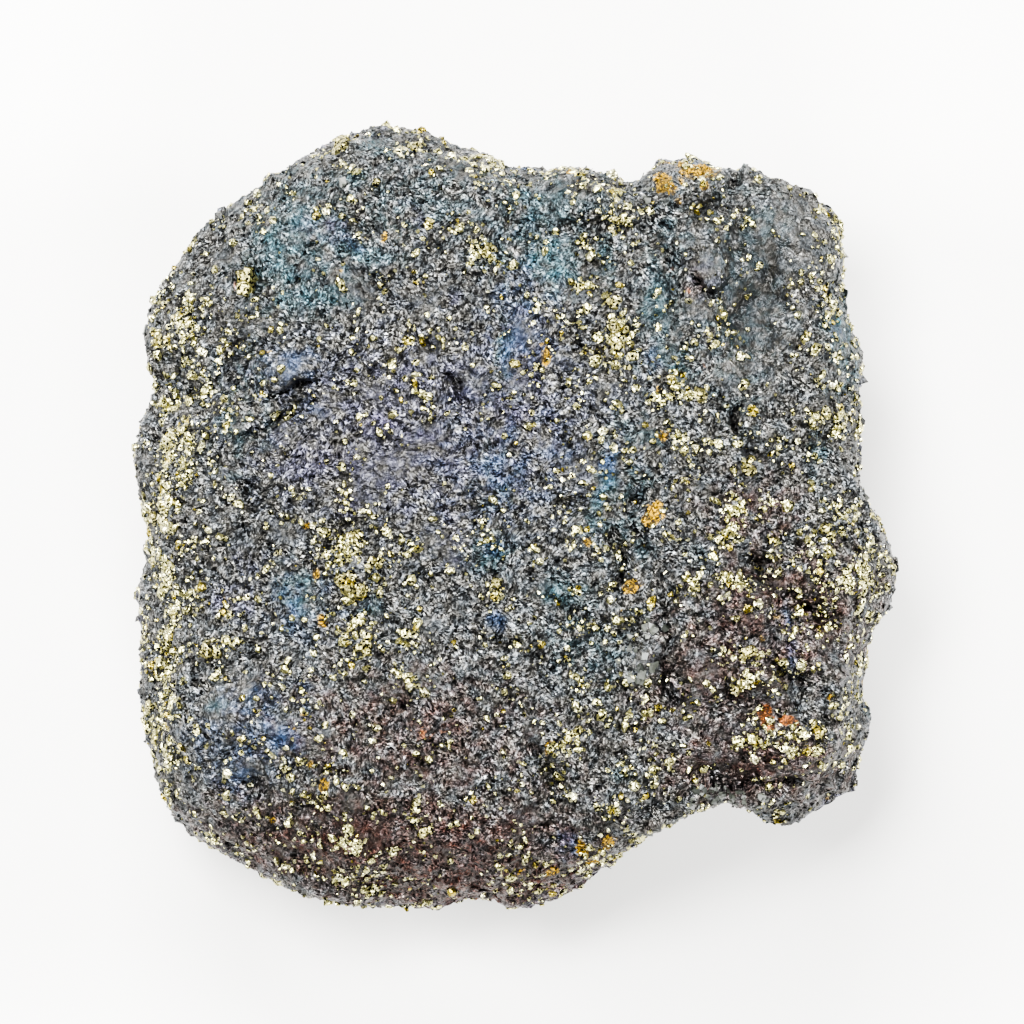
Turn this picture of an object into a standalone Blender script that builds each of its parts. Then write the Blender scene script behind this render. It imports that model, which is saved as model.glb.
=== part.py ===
"""A hand specimen of chalcocite ore, one massive granular stone lying on its broken back.

The weathered face looks up (+Z), its upper edge is towards +Y, and the stone rests on a flat
break at z = 0. Two gridded sheets, the face and the back, are pushed out to the stone's outline
and sewn together along it, and the ledges, lumps, hollows and cracks are then raised and sunk
along the surface's own normals. Sizes below are in millimetres.
"""
import itertools
import math

import bmesh
import bpy
import numpy as np
from mathutils import Euler, Vector

MM = 0.001
STONE_NAME = "chalcocite"

# Grid squares along one side of each sheet, and the triangles that are kept of them
SHEET_SQUARES = 116
KEPT_TRIANGLES = 9300

# The stone's outline seen square on to the face, clockwise from the top
OUTLINE = (
    (-12.0, 33.1), (-9.3, 33.0), (-7.2, 32.8), (-6.1, 32.2), (-4.5, 31.3), (-1.5, 30.5),
    (-0.1, 29.6), (1.9, 30.0), (4.1, 29.6), (6.2, 29.8), (7.8, 29.0), (9.1, 27.9),
    (10.2, 27.5), (10.6, 27.7), (11.1, 28.5), (11.6, 29.5), (12.3, 30.4), (13.7, 30.5),
    (15.0, 30.9), (15.9, 30.5), (17.6, 29.4), (18.5, 28.6), (19.5, 29.0), (21.2, 28.1),
    (23.1, 27.5), (24.7, 27.4), (26.8, 26.4), (27.6, 24.7), (27.7, 23.2), (28.1, 22.3),
    (27.8, 21.0), (27.6, 18.0), (28.5, 15.5), (29.2, 14.1), (29.2, 12.1), (29.0, 10.7),
    (29.2, 8.5), (29.0, 7.1), (29.3, 5.1), (29.0, 2.9), (29.7, 0.9), (30.9, -1.4),
    (31.8, -4.0), (32.0, -5.5), (31.5, -7.2), (30.1, -9.0), (29.6, -11.0), (29.4, -14.8),
    (30.0, -17.8), (29.4, -20.3), (28.7, -22.7), (27.4, -23.0), (25.9, -24.5), (24.4, -25.5),
    (23.0, -25.9), (21.7, -25.4), (21.0, -24.8), (19.8, -24.0), (17.9, -23.5), (16.0, -23.7),
    (14.6, -24.8), (12.5, -26.0), (9.7, -28.0), (7.3, -29.8), (4.5, -31.8), (2.3, -32.7),
    (-0.4, -33.1), (-2.4, -32.5), (-3.8, -32.5), (-6.1, -33.1), (-9.1, -32.8), (-13.1, -32.8),
    (-16.4, -32.0), (-18.8, -31.0), (-20.6, -30.1), (-23.8, -28.9), (-25.9, -27.7), (-27.7, -26.4),
    (-29.1, -24.3), (-29.9, -21.3), (-30.9, -18.9), (-31.3, -16.3), (-31.3, -12.9), (-31.4, -8.7),
    (-31.8, -6.8), (-30.7, -3.6), (-30.7, -1.3), (-31.4, 1.2), (-31.9, 3.6), (-31.9, 6.5),
    (-31.3, 8.8), (-30.3, 10.5), (-30.1, 11.4), (-29.4, 12.2), (-29.7, 12.9), (-30.7, 13.6),
    (-31.0, 15.5), (-30.4, 18.0), (-29.1, 20.3), (-27.5, 22.7), (-26.7, 24.3), (-24.8, 25.7),
    (-23.0, 27.0), (-21.5, 28.0), (-20.9, 29.0), (-19.6, 29.2), (-16.3, 31.6), (-14.0, 32.3),
)

# Around the outline, by direction in degrees from +X: the outline's height above the base, and
# the width over which the face and the back round off towards it
RIM = (
    (0, 15.5, 2.6, 2.6), (30, 17.0, 2.8, 2.2), (60, 15.0, 3.0, 3.4), (90, 13.0, 3.8, 3.2),
    (120, 14.5, 4.4, 3.6), (150, 17.0, 3.8, 3.0), (180, 15.5, 3.2, 2.4), (210, 12.5, 3.8, 2.6),
    (240, 10.5, 4.6, 3.0), (270, 11.5, 4.4, 4.0), (300, 16.5, 2.0, 4.6), (330, 13.0, 3.0, 3.4),
)

# How far round, in degrees, the outline's small bumps are spread out away from the outline
BUMP_SPREAD = 5.0
# How much the outline's height and the bumps' direction wander: size of the wander, and reach
RIM_WANDER = 7.0
RIM_HEIGHT_WANDER = 1.7
BUMP_TURN_WANDER = 7.0

# The face: its height at the middle, how fast it domes down, and how softly its planes meet
FACE_HEIGHT = 26.5
FACE_DOME = 0.0016
PLANE_BLEND = 0.9

# Broken planes that take the edges of the face down: the distance from the middle at which a
# plane leaves the face, the direction in which it falls, and its fall, in degrees
FACE_PLANES = {
    "left bevel": (23.4, 178, 34),
    "upper left shoulder": (28.6, 131, 30),
    "upper edge": (28.5, 93, 27),
    "upper right corner": (31.5, 48, 24),
    "right edge": (26.4, 2, 30),
    "lower edge": (24.5, 266, 33),
    "lower left shoulder": (29.5, 226, 34),
    "lower right break": (27.2, 307, 30),
}

# The back: the flat break that it rests on lies below the cut, and the planes around it rise
BACK_DEPTH = -0.9
BACK_PLANES = {
    "left": (25.0, 171, 58),
    "upper left": (22.0, 127, 41),
    "top": (12.5, 97, 27),
    "upper right": (25.5, 44, 52),
    "right": (18.5, 355, 36),
    "lower right": (24.0, 316, 50),
    "bottom": (20.0, 258, 40),
    "lower left": (28.0, 219, 56),
    "slanting break": (12.0, 20, 13),
}

# Lumps of the face: place, half length, half width, turn in degrees, height
LUMPS = {
    "knob on the upper edge": (14.9, 28.3, 3.3, 2.4, 0, 1.3),
    "plate under the knob": (17.5, 24.9, 1.7, 1.4, 0, 0.7),
    "leaf above the channel": (16.8, 21.3, 2.0, 1.5, 10, 0.9),
    "slab right of the channel": (25.2, 16.5, 3.2, 9.0, 0, 1.1),
    "slab above the long ledge": (7.2, 27.0, 5.5, 2.4, 5, 0.5),
    "plate over the black ledge": (-18.3, 12.8, 3.0, 1.7, 8, 1.0),
    "lower right lobe": (23.4, -11.0, 8.2, 12.6, 8, 1.9),
    "lobe shoulder": (29.0, -4.5, 2.8, 3.6, 0, 0.9),
    "mound on the lobe": (24.4, -18.9, 5.0, 2.6, 0, 1.9),
    "diagonal rib of the lobe": (26.6, -13.4, 4.6, 1.3, 118, 1.0),
    "lobe brow": (18.0, -6.4, 3.4, 1.4, 0, 0.8),
    "middle rise": (6.1, -3.6, 2.2, 3.4, 0, 0.8),
    "quartz patch": (10.8, -11.8, 2.2, 1.5, 35, 0.8),
    "pale rise": (9.0, -7.6, 1.4, 1.8, 0, 0.6),
    "pyrite swelling": (-13.3, -4.6, 1.8, 2.3, 0, 0.7),
    "upper left swelling": (-11.2, 21.4, 4.6, 3.2, 20, 0.6),
    "left swelling": (-24.4, -16.8, 4.0, 2.4, 0, 0.8),
    "blue plate": (-18.6, -17.2, 3.6, 2.0, 12, 0.6),
    "lower middle rise": (-9.8, -19.2, 2.8, 1.6, 0, 0.6),
    "lower right rise": (12.6, -19.4, 3.4, 2.0, 0, 0.8),
    "lower rise": (8.6, -23.8, 3.8, 1.7, 20, 0.7),
    "bottom swelling": (-3.2, -26.6, 4.4, 2.0, 0, 0.6),
    "rise over the violet field": (-9.6, 10.2, 2.4, 1.8, 0, 0.5),
    "rise at the right edge": (25.2, 9.6, 1.7, 2.6, 0, 0.7),
}

# Hollows of the face, given as the lumps are, with their depth last
HOLLOWS = {
    "hollow left of the plate": (-22.8, 13.4, 1.2, 2.2, -12, 1.2),
    "hollow under the black ledge": (-18.4, 9.0, 3.0, 1.2, 8, 1.2),
    "brown pit": (-21.7, 1.9, 1.3, 0.8, 0, 1.0),
    "slanting hollow": (-14.6, -0.9, 2.0, 0.8, 24, 0.8),
    "small hollow by the pit": (-16.6, 0.9, 0.9, 0.7, 0, 0.5),
    "upper left hollow": (-12.0, 24.7, 0.9, 1.1, 0, 0.8),
    "upper left hollow, lower": (-16.2, 22.2, 1.9, 0.8, 30, 0.6),
    "teal hollow": (-17.9, 20.3, 1.0, 0.9, 0, 0.7),
    "hollow with bright grains": (-11.9, 19.2, 1.5, 0.7, -12, 0.7),
    "notch in the violet field": (-11.0, 12.8, 1.2, 0.6, 20, 0.6),
    "slanting notch": (-4.8, 10.3, 1.5, 0.5, -45, 0.6),
    "level notch": (-2.4, 5.6, 2.2, 0.6, 0, 0.6),
    "long notch": (-4.0, 0.8, 2.6, 0.7, 0, 0.7),
    "dark hollow in the middle": (5.0, 1.2, 2.4, 0.9, -10, 0.9),
    "deep hollow by the rust": (10.3, 1.8, 1.5, 2.4, -20, 1.5),
    "hollow under the leaf": (14.4, 20.9, 1.0, 0.9, 0, 1.1),
    "hollow at the channel's end": (17.2, 8.3, 1.1, 2.0, 0, 1.4),
    "hollow right of that end": (20.1, 6.0, 1.6, 0.8, 0, 1.0),
    "black pit": (20.2, -3.6, 1.5, 1.3, 0, 2.1),
    "pit's upper mouth": (22.2, -1.9, 1.3, 0.8, 0, 1.1),
    "maroon hollow": (23.9, -7.8, 2.8, 1.3, -15, 1.1),
    "groove beside the rib": (22.7, -13.2, 0.9, 2.6, 20, 1.2),
    "hollow above the mound": (19.2, -14.8, 1.8, 1.2, 0, 1.1),
    "groove left of the lobe": (13.7, -14.2, 0.9, 2.1, 0, 1.0),
    "hollow over the lower bay": (17.4, -21.5, 2.6, 1.2, 0, 1.2),
    "lower slanting groove": (3.2, -21.6, 2.6, 1.0, -58, 1.3),
    "lower left notch": (-9.6, -15.8, 2.0, 0.9, -10, 0.9),
    "lower left notch, second": (-7.2, -19.6, 1.2, 0.8, 0, 0.7),
    "hollow under the middle": (-1.0, -10.3, 2.1, 0.7, 0, 0.7),
    "hollow right of it": (3.2, -11.6, 1.3, 0.7, -15, 0.6),
    "lower hollow": (-17.2, -24.0, 1.6, 1.1, 0, 0.8),
    "lower hollow, left": (-21.0, -22.3, 1.5, 0.9, 0, 0.7),
    "left hollow": (-21.4, -11.6, 1.6, 0.8, 0, 0.6),
    "pocket of the oval pyrite": (-22.1, 19.8, 1.4, 1.9, 0, 0.9),
    "shade under the knob": (18.3, 27.6, 0.9, 0.8, 0, 1.3),
}

# Ledges: points of the edge, with the raised side on the left of their direction, the rise,
# how far back the rise runs out, and the depth and width of the groove at its foot
LEDGES = {
    "black ledge": (((-21.3, 10.0), (-19.6, 10.6), (-17.8, 11.1), (-15.0, 10.9)), 0.6, 3.0, 1.3, 0.6),
    "second ledge": (((-24.4, 6.6), (-21.4, 8.0), (-18.2, 9.2), (-15.6, 9.4)), 0.4, 2.2, 0.6, 0.7),
    "long upper ledge": (((1.0, 22.9), (2.7, 23.7), (7.3, 24.7), (10.7, 24.5), (14.9, 23.9)),
                         0.7, 3.4, 0.7, 0.6),
    "leaf's foot": (((14.7, 19.6), (16.2, 19.4), (18.4, 19.9)), 0.5, 1.8, 0.8, 0.5),
    "lobe's lower edge": (((18.6, -20.6), (21.4, -21.3), (25.0, -21.4), (28.8, -20.6)),
                          0.5, 2.8, 1.0, 1.2),
    "lobe's left edge": (((12.8, -3.6), (13.4, -8.0), (13.0, -12.4), (14.2, -17.0)),
                         0.5, 3.4, 0.5, 0.8),
    "diagonal step": (((5.0, 16.8), (6.4, 14.6), (7.8, 12.0)), 0.3, 1.6, 0.6, 0.5),
}

# Cracks and channels: points, half width, depth
CRACKS = {
    "crevice from the notch": (((10.0, 27.9), (11.6, 25.2), (13.0, 21.0), (13.9, 15.0), (15.6, 9.8)),
                               0.9, 1.1),
    "smooth channel": (((15.6, 26.6), (19.0, 24.0), (20.2, 19.0), (20.0, 13.5), (18.6, 9.4)), 2.3, 1.9),
    "channel's side crack": (((17.9, 10.4), (17.6, 8.4), (17.7, 6.6)), 0.5, 1.2),
    "upright crevice": (((8.5, 0.6), (8.8, -3.0), (8.3, -7.0)), 0.6, 0.9),
    "short crevice": (((9.9, -0.6), (11.2, -2.4)), 0.5, 0.7),
    "crack over the lobe": (((17.6, -2.0), (20.2, -4.4), (23.6, -6.6), (27.0, -8.6)), 0.8, 0.9),
    "left notch crack": (((-29.6, 12.3), (-27.4, 11.7), (-25.6, 10.9)), 0.8, 1.1),
}

# Grain of the break, largest first: grain size, height on the face, height on the sides and back
GRAINS = ((9.0, 0.50, 1.50), (4.6, 0.45, 0.75), (2.4, 0.26, 0.30))
# Soft swells between the grains, given in the same way
SWELLS = ((17.0, 0.60, 1.10), (6.5, 0.35, 0.45))
# How sharply one grain's plane gives way to the next
GRAIN_SEAM = 8.0
# Width over which a ledge drops from its raised side to its foot
LEDGE_DROP = 0.25
# Share of the coarse relief that is kept at the outline, and the width over which it comes back,
# so that the outline keeps its points
OUTLINE_SHARE = 0.25
OUTLINE_CALM = 1.4
# Height over which the back's relief grows from nothing, so that the flat break stays whole
CALM_HEIGHT = 3.2

SEED = 41

# The noise lattice is turned off the stone's axes, so that no swell runs along them
LATTICE_TILT = np.array(Euler((0.61, 0.43, 0.87)).to_matrix())

CHALCOCITE_COLOUR = (0.105, 0.118, 0.145, 1.0)
CHALCOCITE_ROUGHNESS = 0.46
CHALCOCITE_METALLIC = 0.75


def hashed(cell, channel):
    """Numbers from -1 to 1 that depend only on whole-number places and a channel."""
    mixed = (cell[..., 0] * 73856093) ^ (cell[..., 1] * 19349663) ^ (cell[..., 2] * 83492791)
    mixed = (mixed ^ (channel * 2654435761) ^ (SEED * 97531)) & 0xFFFFFFFF
    mixed = ((mixed ^ (mixed >> 15)) * 2246822519) & 0xFFFFFFFF
    mixed = ((mixed ^ (mixed >> 13)) * 3266489917) & 0xFFFFFFFF
    return ((mixed ^ (mixed >> 16)) & 0xFFFFFF) / float(0x7FFFFF) - 1.0


def swell(points, size, channel):
    """Smooth noise: random values on a tilted lattice of this size, blended between its corners."""
    place = points @ LATTICE_TILT / size
    cell = np.floor(place).astype(np.int64)
    part = place - cell
    part = part ** 3 * (part * (6.0 * part - 15.0) + 10.0)
    total = np.zeros(len(points))
    for corner in itertools.product((0, 1), repeat=3):
        weight = np.prod(np.where(corner, part, 1.0 - part), axis=1)
        total += weight * hashed(cell + np.array(corner), channel)
    return total


def grain(points, size, channel):
    """Flat-faced grains: a place takes the tilted plane of its nearest grain centre.

    Each centre's plane is weighed by how near the centre is, so that planes meet in a seam.
    """
    place = points / size
    cell = np.floor(place).astype(np.int64)
    weights = np.zeros(len(points))
    height = np.zeros(len(points))
    for step in itertools.product((-1, 0, 1), repeat=3):
        there = cell + np.array(step)
        jitter = np.stack([hashed(there, channel + axis) for axis in range(3)], axis=1)
        tilt = np.stack([hashed(there, channel + 3 + axis) for axis in range(3)], axis=1)
        away = place - (there + 0.5 + 0.42 * jitter)
        weight = np.exp(-GRAIN_SEAM * np.sum(away * away, axis=1))
        height += weight * (np.sum(away * tilt, axis=1) + 0.35 * hashed(there, channel + 6))
        weights += weight
    return height / weights


def around(turns, column):
    """A column of RIM at these directions, in degrees, blended between its rows."""
    table = np.array(RIM, dtype=float)
    return np.interp(turns % 360.0, np.append(table[:, 0], 360.0),
                     np.append(table[:, column], table[0, column]))


def outline_radius(turns):
    """Distance from the middle to the outline in these directions, in degrees."""
    points = np.array(OUTLINE)
    bearing = np.degrees(np.arctan2(points[:, 1], points[:, 0])) % 360.0
    reach = np.hypot(points[:, 0], points[:, 1])
    order = np.argsort(bearing)
    return np.interp(turns % 360.0, bearing[order], reach[order], period=360.0)


def body_radius(turns):
    """The same distance with the outline's small bumps smoothed away."""
    samples = np.arange(0.0, 360.0, 0.5)
    reach = outline_radius(samples)
    offset = (samples + 180.0) % 360.0 - 180.0
    bell = np.exp(-0.5 * (offset / BUMP_SPREAD) ** 2)
    smooth = np.fft.irfft(np.fft.rfft(reach) * np.fft.rfft(bell / bell.sum()), len(samples))
    return np.interp(turns % 360.0, samples, smooth, period=360.0)


def plane_fall(x, y, plane):
    """How far a broken plane lies below the level it leaves, negative on that level's side."""
    start, direction, fall = plane
    bearing = math.radians(direction)
    return (x * math.cos(bearing) + y * math.sin(bearing) - start) * math.tan(math.radians(fall))


def soft_most(values):
    """The largest of several heights, with their meetings rounded off."""
    stacked = np.stack(values) / PLANE_BLEND
    top = stacked.max(axis=0)
    return PLANE_BLEND * (top + np.log(np.exp(stacked - top).sum(axis=0)))


def face_level(x, y):
    """Height of the face before its edge rounds off."""
    falls = [plane_fall(x, y, plane) for plane in FACE_PLANES.values()]
    return FACE_HEIGHT - FACE_DOME * (x * x + y * y) - soft_most([np.zeros_like(x)] + falls)


def back_level(x, y):
    """Height of the back before its edge rounds off."""
    rises = [plane_fall(x, y, plane) for plane in BACK_PLANES.values()]
    return soft_most([np.full_like(x, BACK_DEPTH)] + rises)


def sheet_places(u, v, on_face):
    """Places of a sheet's grid corners: u and v run from -1 to 1 over a square.

    The square is turned into a disc by equal areas, and the disc's rings are pushed out to the
    outline. The last part of the radius runs round a quarter ellipse down to the outline.
    """
    ring = np.maximum(np.abs(u), np.abs(v))
    safe = np.maximum(ring, 1e-9)
    wide = np.abs(u) >= np.abs(v)
    turns = np.where(wide, 45.0 * v / safe * np.sign(u) + np.where(u < 0, 180.0, 0.0),
                     90.0 * np.sign(v) - 45.0 * u / safe * np.sign(v))
    shelf = 0.86
    swing = np.clip((ring - shelf) / (1.0 - shelf), 0.0, 1.0) * (math.pi / 2.0)
    body = body_radius(turns)
    bearing = np.radians(turns)
    rim_place = np.stack([body * np.cos(bearing), body * np.sin(bearing), np.zeros_like(body)], axis=1)
    rim_height = around(turns, 1) + RIM_HEIGHT_WANDER * swell(rim_place, RIM_WANDER, 5)
    depth = np.stack([rim_place[:, 0], rim_place[:, 1], 9.0 * np.cos(swing)], axis=1)
    wander = BUMP_TURN_WANDER * np.cos(swing) * swell(depth, RIM_WANDER, 7)
    bumps = outline_radius(turns + wander) - body
    width = around(turns, 2 if on_face else 3)
    inner = (body - width) * np.minimum(ring / shelf, 1.0)
    radius = inner + width * np.sin(swing) + bumps * np.sin(swing) ** 3
    x = radius * np.cos(bearing)
    y = radius * np.sin(bearing)
    level = face_level(x, y) if on_face else back_level(x, y)
    z = rim_height + (level - rim_height) * np.cos(swing) ** 0.85
    return np.stack([x, y, z], axis=1)


def beside_line(x, y, points):
    """Distance from a line of points, the side (1 on its left), and 0 at its ends to 1 between."""
    ends = np.array(points)
    lengths = np.hypot(*np.diff(ends, axis=0).T)
    run = np.concatenate([[0.0], np.cumsum(lengths)])
    nearest = np.full(len(x), np.inf)
    side = np.ones(len(x))
    along = np.zeros(len(x))
    for index, length in enumerate(lengths):
        (ax, ay), (bx, by) = ends[index], ends[index + 1]
        dx, dy = (bx - ax) / length, (by - ay) / length
        share = np.clip((x - ax) * dx + (y - ay) * dy, 0.0, length)
        distance = np.hypot(x - ax - share * dx, y - ay - share * dy)
        closer = distance < nearest
        side = np.where(closer, np.sign(dx * (y - ay) - dy * (x - ax)), side)
        along = np.where(closer, (run[index] + share) / run[-1], along)
        nearest = np.minimum(nearest, distance)
    ends_fade = np.clip(4.0 * np.minimum(along, 1.0 - along), 0.0, 1.0)
    return nearest, side, ends_fade


def lump(x, y, shape):
    """A rounded swelling of height 1 at its middle."""
    centre_x, centre_y, half_length, half_width, turn, _ = shape
    bearing = math.radians(turn)
    along = (x - centre_x) * math.cos(bearing) + (y - centre_y) * math.sin(bearing)
    across = (y - centre_y) * math.cos(bearing) - (x - centre_x) * math.sin(bearing)
    off = (along / half_length) ** 2 + (across / half_width) ** 2
    return np.exp(-(off ** 1.4))


def face_features(x, y):
    """Height that the named lumps, hollows, ledges and cracks add to the face."""
    height = np.zeros(len(x))
    for shape in LUMPS.values():
        height += shape[-1] * lump(x, y, shape)
    for shape in HOLLOWS.values():
        height -= shape[-1] * lump(x, y, shape)
    for points, rise, run_out, depth, width in LEDGES.values():
        distance, side, fade = beside_line(x, y, points)
        raised = 0.5 + 0.5 * np.tanh(side * distance / LEDGE_DROP)
        height += fade * raised * rise * np.exp(-(distance / run_out) ** 2)
        height -= fade * (1.0 - raised) * depth * np.exp(-(distance / width) ** 2)
    for points, half_width, depth in CRACKS.values():
        distance, _, fade = beside_line(x, y, points)
        height -= np.sqrt(fade) * depth * np.exp(-(distance / half_width) ** 2)
    return height


def break_relief(points, normals):
    """How far each place moves along its normal for the grain of the break."""
    upward = np.clip(normals[:, 2] * 1.6 - 0.2, 0.0, 1.0)
    turns = np.degrees(np.arctan2(points[:, 1], points[:, 0]))
    inset = outline_radius(turns) - np.hypot(points[:, 0], points[:, 1])
    share = np.clip(OUTLINE_SHARE + inset / OUTLINE_CALM, OUTLINE_SHARE, 1.0)
    share *= np.clip((points[:, 2] - BACK_DEPTH) / CALM_HEIGHT, 0.0, 1.0)
    height = np.zeros(len(points))
    for channel, (size, on_face, on_back) in enumerate(SWELLS):
        strength = on_back + (on_face - on_back) * upward
        height += strength * swell(points, size, 11 + channel)
    for channel, (size, on_face, on_back) in enumerate(GRAINS):
        strength = on_back + (on_face - on_back) * upward
        height += strength * grain(points, size, 23 + 9 * channel)
    return share * height


def add_sheet(mesh, on_face):
    """Adds one gridded sheet to the mesh and pushes it out to the stone's form."""
    sheet = bmesh.ops.create_grid(mesh, x_segments=SHEET_SQUARES, y_segments=SHEET_SQUARES, size=1.0)
    corners = sheet["verts"]
    flat = np.array([corner.co[:] for corner in corners])
    if not on_face:
        faces = list({face for corner in corners for face in corner.link_faces})
        bmesh.ops.reverse_faces(mesh, faces=faces)
    places = sheet_places(flat[:, 0], flat[:, 1], on_face) * MM
    for corner, place in zip(corners, places):
        corner.co = place


def sew_and_roughen(mesh):
    """Sews the two sheets along the outline, roughens the whole and shapes the face's features."""
    bmesh.ops.remove_doubles(mesh, verts=mesh.verts, dist=0.02 * MM)
    mesh.normal_update()
    points = np.array([corner.co[:] for corner in mesh.verts]) / MM
    normals = np.array([corner.normal[:] for corner in mesh.verts])
    moved = points + normals * break_relief(points, normals)[:, None]
    upward = np.clip(normals[:, 2] * 1.6 - 0.2, 0.0, 1.0)
    moved[:, 2] += upward * face_features(points[:, 0], points[:, 1])
    for corner, place in zip(mesh.verts, moved * MM):
        corner.co = place


def thin_out(stone):
    """Keeps the triangles that the form needs, and applies the modifier."""
    modifier = stone.modifiers.new("fewer triangles", "DECIMATE")
    modifier.ratio = KEPT_TRIANGLES / (4 * SHEET_SQUARES ** 2)
    modifier.use_collapse_triangulate = True
    graph = bpy.context.evaluated_depsgraph_get()
    thinned = bpy.data.meshes.new_from_object(stone.evaluated_get(graph))
    stone.modifiers.clear()
    stone.data = thinned


def cut_rest_face(stone):
    """Cuts the back off flat at z = 0, where the stone rests, and centres it over the origin."""
    mesh = bmesh.new()
    mesh.from_mesh(stone.data)
    everything = mesh.verts[:] + mesh.edges[:] + mesh.faces[:]
    cut = bmesh.ops.bisect_plane(mesh, geom=everything, dist=0.0001 * MM, plane_co=(0.0, 0.0, 0.0),
                                 plane_no=(0.0, 0.0, 1.0), clear_inner=True)
    rim = [item for item in cut["geom_cut"] if isinstance(item, bmesh.types.BMEdge)]
    bmesh.ops.edgeloop_fill(mesh, edges=rim)
    bmesh.ops.triangulate(mesh, faces=mesh.faces[:])
    bmesh.ops.recalc_face_normals(mesh, faces=mesh.faces[:])
    low = [min(corner.co[axis] for corner in mesh.verts) for axis in range(3)]
    high = [max(corner.co[axis] for corner in mesh.verts) for axis in range(3)]
    middle = Vector(((low[0] + high[0]) / 2.0, (low[1] + high[1]) / 2.0, low[2]))
    bmesh.ops.translate(mesh, verts=mesh.verts, vec=-middle)
    mesh.to_mesh(stone.data)
    mesh.free()


def chalcocite_material():
    """Dull, dark blue-grey metal, as tarnished chalcocite looks from a step away."""
    material = bpy.data.materials.new("massive chalcocite")
    material.use_nodes = True
    shader = material.node_tree.nodes["Principled BSDF"]
    shader.inputs["Base Color"].default_value = CHALCOCITE_COLOUR
    shader.inputs["Roughness"].default_value = CHALCOCITE_ROUGHNESS
    shader.inputs["Metallic"].default_value = CHALCOCITE_METALLIC
    return material


def build_stone():
    """The whole stone as one closed solid."""
    mesh = bmesh.new()
    add_sheet(mesh, on_face=True)
    add_sheet(mesh, on_face=False)
    sew_and_roughen(mesh)
    data = bpy.data.meshes.new(STONE_NAME)
    mesh.to_mesh(data)
    mesh.free()
    stone = bpy.data.objects.new(STONE_NAME, data)
    parts = bpy.data.collections.new("chalcocite specimen")
    bpy.context.scene.collection.children.link(parts)
    parts.objects.link(stone)
    thin_out(stone)
    cut_rest_face(stone)
    stone.data.materials.clear()
    stone.data.materials.append(chalcocite_material())
    return stone


for old in list(bpy.data.objects):
    bpy.data.objects.remove(old, do_unlink=True)

build_stone()
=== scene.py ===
"""A hand specimen of chalcocite ore: a broken lump of massive copper sulphide full of pyrite.

The stone lies on a flat break with its weathered face up (+Z), the face's upper edge towards +Y.
Its mass is one closed surface, worked out from the same sizes as the CAD solid and roughened with
a finer grain. Splinters of the break, pyrite and quartz are joined meshes of small closed grains
that sit in that surface. Sizes are in millimetres until a mesh is filled, angles are in degrees,
and hex colours are sRGB.
"""
import itertools
import logging
import math
from dataclasses import dataclass, field
from enum import Enum
from functools import cache, partial
from typing import Any, Callable, Mapping, Optional, Sequence

import bmesh
import bpy
import numpy as np
from mathutils import Euler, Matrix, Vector


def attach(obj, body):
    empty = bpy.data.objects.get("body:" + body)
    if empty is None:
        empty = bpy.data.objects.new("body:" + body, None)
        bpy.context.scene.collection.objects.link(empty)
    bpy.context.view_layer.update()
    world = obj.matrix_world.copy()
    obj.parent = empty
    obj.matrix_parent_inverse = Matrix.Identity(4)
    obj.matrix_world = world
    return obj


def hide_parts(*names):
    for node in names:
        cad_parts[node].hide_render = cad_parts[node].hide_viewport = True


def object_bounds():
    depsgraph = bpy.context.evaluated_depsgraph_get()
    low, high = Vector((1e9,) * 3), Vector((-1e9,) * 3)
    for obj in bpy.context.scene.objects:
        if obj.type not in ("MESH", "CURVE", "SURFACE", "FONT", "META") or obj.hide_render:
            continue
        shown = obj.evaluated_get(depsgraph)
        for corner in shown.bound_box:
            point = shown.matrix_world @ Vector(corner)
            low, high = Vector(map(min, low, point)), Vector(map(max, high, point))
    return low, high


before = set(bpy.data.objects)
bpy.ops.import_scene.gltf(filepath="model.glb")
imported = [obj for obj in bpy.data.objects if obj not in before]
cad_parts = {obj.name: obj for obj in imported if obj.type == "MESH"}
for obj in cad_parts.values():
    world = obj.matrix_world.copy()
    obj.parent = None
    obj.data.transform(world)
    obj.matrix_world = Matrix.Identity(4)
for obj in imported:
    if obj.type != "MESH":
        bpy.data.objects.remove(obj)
CAD_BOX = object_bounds()

MM = 0.001
NODE = SLOT = "chalcocite"
BODY = "root"
BAKE_MAP = "OFBake"
STANDING = 0.9  # height above the floor from which the surface carries grains
UPWARD = 0.15  # least upward part of the normal of a corner that a named grain may sit on

log = logging.getLogger("specimen")

Array = np.ndarray
# A patch is a soft-edged ellipse on the face: place, half length, half width, turn, strength
Patch = tuple[float, ...]


def table(rows: Mapping) -> Any:
    """A dataclass field that holds these named rows."""
    return field(default_factory=lambda: rows)


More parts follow.
